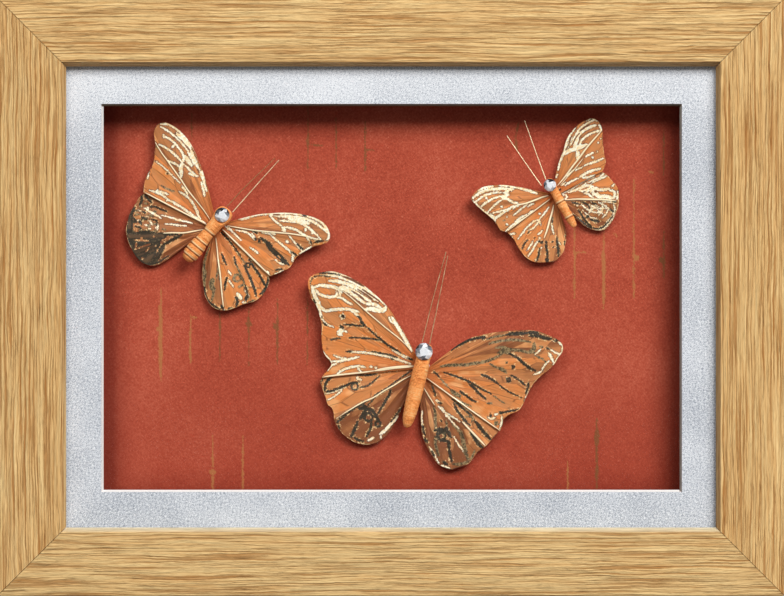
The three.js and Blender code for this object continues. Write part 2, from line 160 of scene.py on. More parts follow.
def addPiece(name, points, faces, material, nodes, uv=None, marks=None, sharp=40):
    # faces is a list of arrays or lists of point numbers, uv the name of a map and the points' places
    # on it, marks the values of attributes at the points; edges past `sharp` degrees stay sharp
    points = np.asarray(points, float)
    mesh = bpy.data.meshes.new(name)
    polygons = [face for part in faces for face in np.asarray(part).tolist()]
    mesh.from_pydata((points * mm).tolist(), [], polygons)
    mesh.calc_loop_triangles()
    corners = np.empty(len(mesh.loop_triangles) * 3, np.int32)
    mesh.loop_triangles.foreach_get("vertices", corners)
    a, b, c = points[corners.reshape(-1, 3)].transpose(1, 0, 2)
    if np.einsum("ij,ij->i", a - points[0], np.cross(b - points[0], c - points[0])).sum() < 0:
        mesh.flip_normals()  # the shell was inside out
    if uv is not None:
        title, places = uv
        layer = mesh.uv_layers.new(name=title)
        owner = np.empty(len(mesh.loops), np.int32)
        mesh.loops.foreach_get("vertex_index", owner)
        layer.uv.foreach_set("vector", np.asarray(places, np.float32)[owner].ravel())
    for key, values in (marks or {}).items():
        field = mesh.attributes.new(key, "FLOAT", "POINT")
        field.data.foreach_set("value", np.asarray(values, np.float32).ravel())
    if sharp:
        mesh.shade_smooth()
        mesh.set_sharp_from_angle(angle=math.radians(sharp))
    mesh.materials.append(material)
    piece = bpy.data.objects.new(name, mesh)
    bpy.context.scene.collection.objects.link(piece)
    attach(piece, "root")
    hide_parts(*nodes)
    return piece


def smoothLine(line, steps):
    # Centripetal Catmull-Rom curve through the points, with `steps` equal parts between each two.
    # The end tangents come from points mirrored beyond the ends.
    line = np.asarray(line, float)
    full = np.concatenate([[2 * line[0] - line[1]], line, [2 * line[-1] - line[-2]]])
    gap = np.maximum(np.linalg.norm(np.diff(full, axis=0), axis=1), 1e-4) ** 0.5
    p0, p1, p2, p3 = full[:-3], full[1:-2], full[2:-1], full[3:]
    d0, d1, d2 = (gap[i : len(gap) - 2 + i, None] for i in range(3))
    m1 = ((p1 - p0) / d0 - (p2 - p0) / (d0 + d1) + (p2 - p1) / d1) * d1
    m2 = ((p2 - p1) / d1 - (p3 - p1) / (d1 + d2) + (p3 - p2) / d2) * d1
    t = np.linspace(0, 1, steps, endpoint=False)[None, :, None]
    p1, p2, m1, m2 = p1[:, None], p2[:, None], m1[:, None], m2[:, None]
    curve = p1 + m1 * t + (3 * (p2 - p1) - 2 * m1 - m2) * t**2 + (2 * (p1 - p2) + m1 + m2) * t**3
    return np.concatenate([curve.reshape(-1, line.shape[1]), line[-1:]])


def spacedLine(line, count):
    # the same curve with its points at equal distances along it
    curve = smoothLine(line, 24)
    run = np.concatenate([[0], np.cumsum(np.linalg.norm(np.diff(curve, axis=0), axis=1))])
    want = np.linspace(0, run[-1], count)
    return np.stack([np.interp(want, run, curve[:, k]) for k in range(curve.shape[1])], -1)


def smooth(value, low, high):  # 0 at low, 1 at high, smooth between; low may be the larger
    t = np.clip((value - low) / (high - low), 0, 1)
    return t * t * (3 - 2 * t)


def ringAngles(count):  # of points at equal steps round a circle, as one row
    return np.linspace(0, 2 * math.pi, count, endpoint=False)[None]


# Oak rails
oak = {
    "sight": (296.0, 210.0),
    "face": 31.0,
    "depth": 38.0,
    "lip": 5.0,
    "rebate": 7.0,
    "bevel": (1.8, 3.8),
    "bevelEase": [(0.92, 0.34), (0.97, 0.16), (1.05, 0.05), (1.25, 0), (1.6, 0)],  # share of its width, depth
    "edge": 0.8,
    "edgeSteps": 6,
    "mitre": 0.15,
    "middle": 136.0,
    "front": -19.0,
    # quarter turns, where the grain starts, the painted light on the inner edge (a painted highlight above 0,
    # painted shade below 0), and how much paler the face is painted, which is painted light evening out the
    # rails' brightness
    "rails": {
        "bottom": {"turns": 0, "grain": 5300, "worn": 1.0, "pale": 0.13},
        "left": {"turns": 1, "grain": 1300, "worn": 0.0, "pale": 0.0},
        "top": {"turns": 2, "grain": 2700, "worn": -0.3, "pale": 0.07},
        "right": {"turns": -1, "grain": 4100, "worn": -0.36, "pale": 0.0},
    },
    # how the inner edge's painted light fades
    "edgeLightFade": (1, 1, 0.35, 0.25, 0.1, 0),  # from the lip to the face
    # sizes of the grain's noises, along and across
    "sway": (70, 14, 1),
    "broad": (150, 9, 1),
    "ridge": (70, 0.95, 1),
    "fine": (26, 0.4, 1),
    "pores": (13, 0.32, 1),
    "dark": (182, 120, 54),
    "base": (230, 182, 117),
    "light": (253, 215, 150),
    "pore": (120, 72, 30),
    "groove": (167, 103, 42),
    "paintedEdgeHighlight": (255, 243, 208),
}


def oakMaterial():
    p = Paint("oak")
    grain = p.map("grain")  # along the rail, round its section
    sway = p.noise(grain, oak["sway"], 5, rough=0.58) - 0.5
    wander = p.node("ShaderNodeCombineXYZ", None, {"Y": sway * 5})
    run = p.node("ShaderNodeVectorMath", {"operation": "ADD"}, [grain, wander])
    broad = p.noise(run, oak["broad"], 2)
    ridge = p.noise(run, oak["ridge"], 5, rough=0.66)
    fine = p.noise(run, oak["fine"], 3, rough=0.6)
    pores = p.noise(run, oak["pores"], 1).ease(0.6, 0.72) * ridge.ease(0.55, 0.42)
    groove = ridge.ease(0.485, 0.43)
    crest = ridge.ease(0.55, 0.6)
    # the pale mark paints some rails' faces lighter: painted light that evens out the rails' brightness
    tone = broad * 0.3 + ridge * 1.3 + fine * 1.3 - 0.92 + p.mark("pale")
    colour = p.ramp(tone, (0.16, oak["dark"]), (0.5, oak["base"]), (0.84, oak["light"]))
    colour = p.mix(groove * 0.5, colour, oak["groove"])
    colour = p.mix(crest * 0.35, colour, oak["light"])
    colour = p.mix(pores * 0.5, colour, oak["pore"])
    # painted light on the inner edge: a painted highlight where the mark is above 0, painted shade where it
    # is below 0
    worn = p.mark("worn")
    colour = p.mix(worn * 0.9, colour, oak["paintedEdgeHighlight"])
    colour = p.mix(worn * -1.0, colour, oak["pore"])
    height = ridge * 0.55 + fine * 0.28 - pores * 0.14 - groove * 0.1 + crest * 0.1
    return p.surface(
        Base_Color=colour, Roughness=0.7 - ridge * 0.2, Normal=p.bump(height), Specular_IOR_Level=0.2
    )


def oakSection():
    # across from the sight edge and depth from the front: a short lip, a steep bevel eased into the flat
    # face, an eased outer edge, the outside, the back, and the rebate cut out behind the lip
    turn = np.linspace(0, math.pi / 2, oak["edgeSteps"] + 1)
    r, face, depth = oak["edge"], oak["face"], oak["depth"]
    wide, deep = oak["bevel"]
    inner = [[0, deep], *([wide * share, drop] for share, drop in oak["bevelEase"])]
    outer = np.stack([face - r + r * np.sin(turn), r - r * np.cos(turn)], -1)
    rest = [[face, depth], [oak["rebate"], depth], [oak["rebate"], oak["lip"]]]
    return np.concatenate([[[0, oak["lip"]]], inner, outer, rest])


def addRail(name, rail, material):
    # The section is carried straight along the rail and its two ends run out along the mitres;
    # the rail is then turned about y by quarter turns.
    section = oakSection()
    across, depth = section.T
    length, reach = oak["sight"] if rail["turns"] % 2 == 0 else oak["sight"][::-1]
    half = length / 2 + across - oak["mitre"]
    x = np.stack([-half, half])
    y, z = (np.tile(row, (2, 1)) for row in (oak["front"] + depth, -across - reach / 2))
    turn = rail["turns"] * math.pi / 2
    turnedX = x * math.cos(turn) + z * math.sin(turn)
    turnedZ = oak["middle"] - x * math.sin(turn) + z * math.cos(turn)
    points = np.stack([turnedX, y, turnedZ], -1).reshape(-1, 3)
    count = len(section)
    girth = np.concatenate([[0], np.cumsum(np.linalg.norm(np.diff(section, axis=0), axis=1))])
    start = rail["grain"]
    uv = np.stack([x + start, np.tile(girth + start / 7, (2, 1))], -1).reshape(-1, 2)
    # the painted light along the inner edge, fading from the lip to the face
    worn = np.zeros(count)
    worn[: len(oak["edgeLightFade"])] = rail["worn"] * np.array(oak["edgeLightFade"])
    marks = {"worn": np.tile(worn, 2), "pale": np.full(2 * count, rail["pale"])}
    faces = tubeFaces(2, count)
    nodes = [f"rail_{name}"]
    addPiece(f"oak_rail_{name}", points, faces, material, nodes, ("grain", uv), marks, sharp=30)


oakPaint = oakMaterial()
for railName, rail in oak["rails"].items():
    addRail(railName, rail, oakPaint)
print("oak rails done")


def framedRings(rings, closed, shifts=((0, 0),)):
    # rectangles round the frame's middle, each (half width, half height, y), joined one to the next;
    # closed joins the last to the first, otherwise both ends are capped; shifts moves each across and up
    w, h, y = np.array(rings, float).T[..., None]
    across, up = np.array([[-1, -1], [1, -1], [1, 1], [-1, 1]]).T
    points = np.stack([w * across, np.repeat(y, 4, 1), oak["middle"] + h * up], -1)
    points[..., [0, 2]] += np.array(shifts, float)[:, None]
    count = len(rings)
    faces = tubeFaces(count, 4)
    if closed:
        corner, after = np.arange(4), np.array([1, 2, 3, 0])
        last = 4 * (count - 1)
        faces[1:] = [np.stack([last + corner, last + after, after, corner], -1)]
    return points.reshape(-1, 3), faces


# Glass with a fine ground arris round its edge
glass = {"half": (154.5, 111.5), "y": (-14.0, -12.0), "arris": 0.3, "dust": 0.05, "haze": 0.004, "ior": 1.06}


def addGlass():
    p = Paint("pane")
    haze = glass["haze"] * p.noise(p.place(), glass["dust"], 2)
    clear = p.surface(Base_Color=(1, 1, 1, 1), Roughness=haze, Transmission_Weight=1.0, IOR=glass["ior"])
    (w, h), (y0, y1), a = glass["half"], glass["y"], glass["arris"]
    rings = [(w - a, h - a, y0), (w, h, y0 + a), (w, h, y1 - a), (w - a, h - a, y1)]
    points, faces = framedRings(rings, False)
    pane = addPiece("glass", points, faces, clear, ["glass_pane"], sharp=20)
    pane.visible_shadow = False  # lamp light passes straight through
    pane.visible_diffuse = False


addGlass()
print("glass done")

# Window mat: grey fibrous face paper on a white core that shows in the bevel
mat = {
    "outer": (154.5, 111.5),
    "window": (131.5, 87.6),
    "shift": (0.3, -0.45),
    "bevel": 0.95,
    "y": (-12.0, -10.5),
    "skin": 0.18,
    # sizes of the paper's noises, in metres
    "rising": (0.001, 0.001, 0.0003),
    "falling": (0.0011, 0.0011, 0.0003),
    "speck": 0.0005,
    "cloud": 0.03,
    # from no change to full change, in metres: paler towards the top, and the bevel painted in shade above
    # and to the right
    "paleToTop": (0.2, 0.24),
    "bevelShadeTop": (0.2226, 0.2232),
    "bevelShadeRight": (0.1313, 0.1319),
    "grey": (208, 212, 218),
    "dark": (148, 155, 167),
    "light": (248, 250, 253),
    "core": (246, 244, 240),
    "bevelShadeColour": (112, 98, 82),
}


def matMaterial():
    p = Paint("mat_card")
    here = p.place()
    rising = p.noise(here, mat["rising"], 2, (0, 42, 0))
    falling = p.noise(here, mat["falling"], 2, (0, -38, 0))
    speck = p.noise(here, mat["speck"], 2)
    cloud = p.noise(here, mat["cloud"], 2)
    up = p.axis(here, "Z")
    # the face is paler towards the top
    paleToTop = up.ease(*mat["paleToTop"])
    fibre = rising * 1.0 + falling * 1.2 + speck * 0.5 + cloud * 0.3 - 0.995 + paleToTop * 0.13
    face = p.ramp(fibre, (0.25, mat["dark"]), (0.5, mat["grey"]), (0.78, mat["light"]))
    # painted shade on the white core where the bevel faces down at the top and faces left at the right
    bevelShade = up.ease(*mat["bevelShadeTop"]) + p.axis(here, "X").ease(*mat["bevelShadeRight"]) * 0.8
    colour = p.mix(p.mark("core"), face, p.mix(bevelShade, mat["core"], mat["bevelShadeColour"]))
    height = (rising + falling) * 0.15 + speck * 0.09
    return p.surface(Base_Color=colour, Roughness=0.9, Normal=p.bump(height), Specular_IOR_Level=0.2)


def addMat():
    # a flat sheet with a sloping window: the grey skin's cut edge, then the core down to the back
    (w, h), (ww, wh), (y0, y1) = mat["outer"], mat["window"], mat["y"]
    b, skin = mat["bevel"], mat["skin"]
    drop = skin * (y1 - y0) / b
    rings = [
        (w, h, y0),
        (ww + b, wh + b, y0),
        (ww + b - skin, wh + b - skin, y0 + drop),
        (ww, wh, y1),
        (w, h, y1),
    ]
    still, moved = (0, 0), mat["shift"]
    points, faces = framedRings(rings, True, [still, moved, moved, moved, still])
    marks = {"core": np.repeat([0, 0, 1, 1, 0], 4)}
    addPiece("window_card", points, faces, matMaterial(), ["window_mat"], marks=marks, sharp=15)


addMat()
print("mat done")

# Red paper on the board and on the spacer strips, with old scuffs of tan and olive down the board
red = {
    "half": (154.5, 111.5),
    "y": (6.5, 9.5),
    "gridLines": (60, 80),
    "gridSteps": (-1.5, -0.6, -0.3, 0, 0.3, 0.6, 1.5),  # lines across each end of a scuff
    # the painted shade along the window's edge: its move to the right, how far out it starts below and above
    "shadeShift": 2,
    "shadeOut": (4, 8),
    # sizes of the paper's noises, in metres
    "cloud": 0.055,
    "mottle": 0.004,
    "grit": 0.0009,
    "hair": (0.0032, 0.0032, 0.00055),
    "torn": (0.0005, 0.0005, 0.0009),
    "missed": (0.002, 0.002, 0.0045),
    "base": (180, 78, 55),
    "dark": (150, 56, 38),
    "light": (206, 106, 80),
    "fibre": (222, 134, 106),
    "tan": (180, 120, 70),
    "olive": (124, 84, 48),
    # painted shade along the window's edge
    "deep": (104, 30, 20),
    # half width, then across and up of each end
    "tanScuffs": [
        (0.2, -106, 140.4, -106, 97.4), (0.7, -106.3, 132, -106.2, 112), (0.8, -106.4, 120, -106.3, 100),
        (0.7, -107.9, 121.4, -106.4, 120.4), (0.2, -92.4, 127.8, -92.4, 105.6),
        (0.25, -92.4, 126.8, -89.8, 126.4), (0.35, -92.5, 122, -92.6, 108), (0.2, 84.6, 168, 84.7, 135.6),
        (0.5, 84.5, 158, 84.6, 153.4), (0.5, 84.4, 144.6, 84.6, 139), (0.26, 84.6, 156.8, 90.4, 156.4),
        (0.25, 98.2, 165.8, 98, 130.4), (0.7, 98, 157, 98.1, 146), (0.6, 98.1, 147, 98, 132.6),
        (0.15, 112, 190, 112, 136), (0.3, 112, 170, 112, 137), (1.2, 112.4, 154.6, 113.6, 153.4),
        (0.25, 81.5, 60.4, 81.5, 47.5), (0.25, -82.2, 72, -82.2, 47.5), (1.4, -83, 55.4, -81.5, 55.2),
        (0.55, -82.3, 54, -82.2, 47.5), (0.2, -68.3, 72, -68.3, 57), (0.3, -68.4, 56.4, -68.3, 47.5),
        (0.3, 103, 165.4, 104, 164), (0.25, 119.4, 193.6, 121, 193.4),
    ],
    "oliveScuffs": [
        (0.4, 94.9, 79.8, 94.9, 47.5), (1.1, 95.1, 75, 94.8, 67.4), (0.7, 95, 58, 94.8, 52),
        (0.2, 125.8, 213, 125.8, 192.4), (0.2, 125.8, 166.4, 125.8, 145), (1.3, 124.4, 153.8, 125.6, 152),
        (0.5, 125.8, 157, 125.8, 148), (0.25, -38.3, 223.6, -38.3, 195.4),
        (0.5, -38.3, 212, -38.3, 203.7), (0.3, -38.3, 206.3, -31.5, 205.8),
        (0.2, -25.3, 218.5, -25.3, 195.4), (0.25, -11.9, 216.7, -11.9, 194.5),
        (0.2, -12, 204, -7.6, 203.6), (0.2, -91.9, 220.4, -91.9, 207.9), (0.25, -52.3, 135.4, -52.4, 105),
        (1.4, -53.8, 123.2, -52.8, 121.8), (0.5, -52.3, 127, -52.4, 117),
        (0.16, -38.5, 135.8, -38.6, 103.9), (0.2, -78.9, 128.6, -78.9, 106.4),
        (0.45, -78.9, 124.6, -78.8, 120.4), (0.2, -65.5, 131, -65.6, 104.3),
        (1.5, -66.4, 123.8, -64.6, 123.2), (0.5, -65.6, 127, -65.6, 119.4),
        (0.4, 58.6, 215.8, 57.4, 209.5), (0.35, 57.4, 209.5, 58, 204.2),
    ],
}


farGap = 3.0  # the gap of a point that no stroke comes near


def strokeGap(points, strokes):
    # How far each point is outside the nearest stroke, negative inside: distance to its smoothed line
    # less its half width, which narrows towards both ends. Strokes are (half width, u, v, u, v, ...).
    gap = np.full(len(points), farGap)
    for halfWidth, *numbers in strokes:
        line = np.array(numbers, float).reshape(-1, 2)
        if len(line) > 2:
            line = smoothLine(line, 4)
        reach = halfWidth + farGap
        near = np.flatnonzero(((points > line.min(0) - reach) & (points < line.max(0) + reach)).all(1))
        start, span = line[:-1], np.diff(line, axis=0)
        away = points[near, None] - start
        part = np.clip((away * span).sum(2) / np.maximum((span**2).sum(1), 1e-9), 0, 1)
        distance = np.linalg.norm(away - part[..., None] * span, axis=2)
        along = (np.arange(len(span)) + part) / len(span)
        width = halfWidth * (1 - 0.5 * np.abs(2 * along - 1) ** 4)
        gap[near] = np.minimum(gap[near], (distance - width).min(1))
    return gap


def redMaterial(name, scuffedAndShaded):
    p = Paint(name)
    here = p.place()
    cloud = p.noise(here, red["cloud"], 3, (0, 25, 0))
    mottle = p.noise(here, red["mottle"], 3)
    grit = p.noise(here, red["grit"], 2)
    hair = p.noise(here, red["hair"], 1, (0, 50, 0)) * 0.5 + p.noise(here, red["hair"], 1, (0, -35, 0)) * 0.5
    tone = cloud * 0.4 + mottle * 0.15 + grit * 0.45 + hair * 0.3 - 0.15
    colour = p.ramp(tone, (0.3, red["dark"]), (0.5, red["base"]), (0.72, red["light"]))
    colour = p.mix(hair.ease(0.62, 0.72) * 0.5, colour, red["fibre"])
    if scuffedAndShaded:
        edge = p.mark("edge")
        # darker towards the bottom
        low = p.axis(here, "Z").ease(0.14, 0.06)
        colour = p.mix(low * 0.3, colour, red["dark"])
        # painted shade along the window's edge, deepest at it
        colour = p.mix(edge.ease(16.0, 0.0) * 0.35 + edge.ease(5.0, 0.0) * 0.3, colour, red["deep"])
        torn = (p.noise(here, red["torn"], 3, rough=0.75) - 0.5) * 3.4
        missed = (p.noise(here, red["missed"], 2) - 0.5) * 1.4
        for kind in ("tan", "olive"):
            worn = (p.mark(kind) + torn + missed - 0.1).ease(0.15, -0.15)
            colour = p.mix(worn * 0.75, colour, red[kind])
    height = grit * 0.06 + hair * 0.05
    return p.surface(Base_Color=colour, Roughness=0.88, Normal=p.bump(height), Specular_IOR_Level=0.2)


def addBoard():
    # a flat sheet: grid lines are set on each scuff, so its edges stay true between them
    (w, h), (y0, y1) = red["half"], red["y"]
    middle = oak["middle"]
    ends = np.array([scuff[1:] for scuff in red["tanScuffs"] + red["oliveScuffs"]]).reshape(-1, 2)
    steps = np.array(red["gridSteps"])
    columns, rows = red["gridLines"]
    xs = np.concatenate([np.linspace(-w, w, columns), (ends[:, :1] + steps).ravel()])
    zs = np.concatenate([np.linspace(middle - h, middle + h, rows), (ends[:, 1:] + steps[2:-2]).ravel()])
    xs, zs = np.unique(np.round(xs, 1)), np.unique(np.round(2 * zs) / 2)  # to 0.1 across, 0.5 up
    rows, columns = len(zs), len(xs)
    flat = np.stack(np.meshgrid(xs, zs), -1).reshape(-1, 2)
    corners = np.array([[-w, middle - h], [w, middle - h], [w, middle + h], [-w, middle + h]])
    points = np.concatenate([np.insert(flat, 1, y0, 1), np.insert(corners, 1, y1, 1)])
    at = np.arange(rows * columns).reshape(rows, columns)
    b0, b1, b2, b3 = len(flat) + np.arange(4)
    rim = [
        [*at[0, ::-1], b0, b1],
        [*at[::-1, -1], b1, b2],
        [*at[-1], b2, b3],
        [*at[:, 0], b3, b0],
        [b0, b3, b2, b1],
    ]
    faces = [gridQuads(rows, columns), *[[face] for face in rim]]
    behind = [farGap] * len(corners)
    marks = {kind: np.append(strokeGap(flat, red[f"{kind}Scuffs"]), behind) for kind in ("tan", "olive")}
    # how far each point lies in from the window's edge, for the painted shade along it
    inside = np.array(mat["window"]) - np.abs(flat - (red["shadeShift"], middle))
    below, above = red["shadeOut"]
    inside[:, 1] += np.where(flat[:, 1] > middle, above, below)
    marks["edge"] = np.append(np.maximum(inside.min(1), 0), [0.0] * len(corners))
    paint = redMaterial("red_paper", True)
    addPiece("red_sheet", points, faces, paint, ["red_board"], marks=marks)


addBoard()
print("red board done")


# The butterflies. Each is drawn in its own plane: across the body to the right, and along the body
# towards the head. Heights are above the board.
perch = {
    "board": 6.5,  # y of the board's face
    "clearance": 4.8,  # under the body
    "rise": 0.044,  # of the wings, for each millimetre across
    "thick": 0.5,  # of the wings
    "hindTop": 3.0,
    "foreTop": 4.5,
    "pad": 2.25,
}

# `centre` and `lean` set it on the board, `pad` is its pad's radius and `axis` its body's place across.
# `body` is the body's profile, radius and place along, `rings` the places of its grooves, `crinkle` how
# deep its creases are, `seat` where the flat under the stone starts and its height over the body's middle,
# `gem` the stone's place and radius, `fire` how the stone's painted light falls off towards its top, and
# the last entry the painted light of each antenna: how much brighter it is painted.
butterflies = {
    "large": {
        "centre": (13.6, 102.7), "lean": 13.8, "pad": 4.6, "axis": 0.0,
        "body": [
            (0, -27.6), (1.5, -26.8), (2.6, -24.2), (3.3, -18), (3.6, -8), (3.6, 0),
            (3.3, 4.6), (3.5, 7.2), (3.3, 10), (2.1, 11.8), (0, 12.3),
        ],
        "rings": [], "crinkle": 0.14,
        "seat": (3.9, 1.9), "gem": (-0.5, 8.4, 4.0), "fire": 0.15,
        "polish": {"left": -0.12, "right": -0.1},
        "antennae": {
            "left": [(-2.3, 12.5), (-2.2, 33), (-1.5, 55.3)],
            "right": [(1.2, 12.5), (0.6, 30), (-0.3, 53.8)],
        },
    },
    "medium": {
        "centre": (-83.3, 166.2), "lean": 39.6, "pad": 4.2, "axis": 0.2,
        "body": [
            (0, -17.3), (1.9, -16.8), (3.4, -15), (3.9, -12), (3.8, -8.5), (3.2, -5), (2.9, -1.5),
            (3.2, 2.5), (3.3, 5.2), (4, 7.6), (4.2, 10), (3.2, 12.4), (1.4, 13.3), (0, 13.4),
        ],
        "rings": [-0.7, -6.3, -9.3, -12.3, -15], "crinkle": 0.07,
        "seat": (5.6, 2.2), "gem": (-0.1, 9.5, 3.4), "fire": 0.7,
        "polish": {"left": -0.3, "right": 0.0},
        "antennae": {
            "left": [(-1, 13.7), (-0.4, 25), (1.7, 45)],
            "right": [(2.6, 13.4), (3.1, 29), (3.7, 45.5)],
        },
    },
    "small": {
        "centre": (76.1, 181.8), "lean": -30.1, "pad": 3.2, "axis": 0.4,
        "body": [
            (0, -16.2), (1.1, -15.7), (1.7, -13.6), (2.1, -10.8), (2, -8), (2.2, -3.4), (2.1, 0),
            (2.1, 3.4), (2.4, 5.4), (2.4, 7.4), (1.5, 9), (0, 9.4),
        ],
        "rings": [-3, -11], "crinkle": 0.05,
        "seat": (3.2, 1.3), "gem": (0.0, 6.4, 2.9), "fire": 0.5,
        "polish": {"left": 0.06, "right": 0.05},
        "antennae": {
            "left": [(-3.4, 8.2), (-4.4, 20), (-5.5, 36)],
            "right": [(-0.2, 9.7), (2, 22), (5, 38)],
        },
    },
}
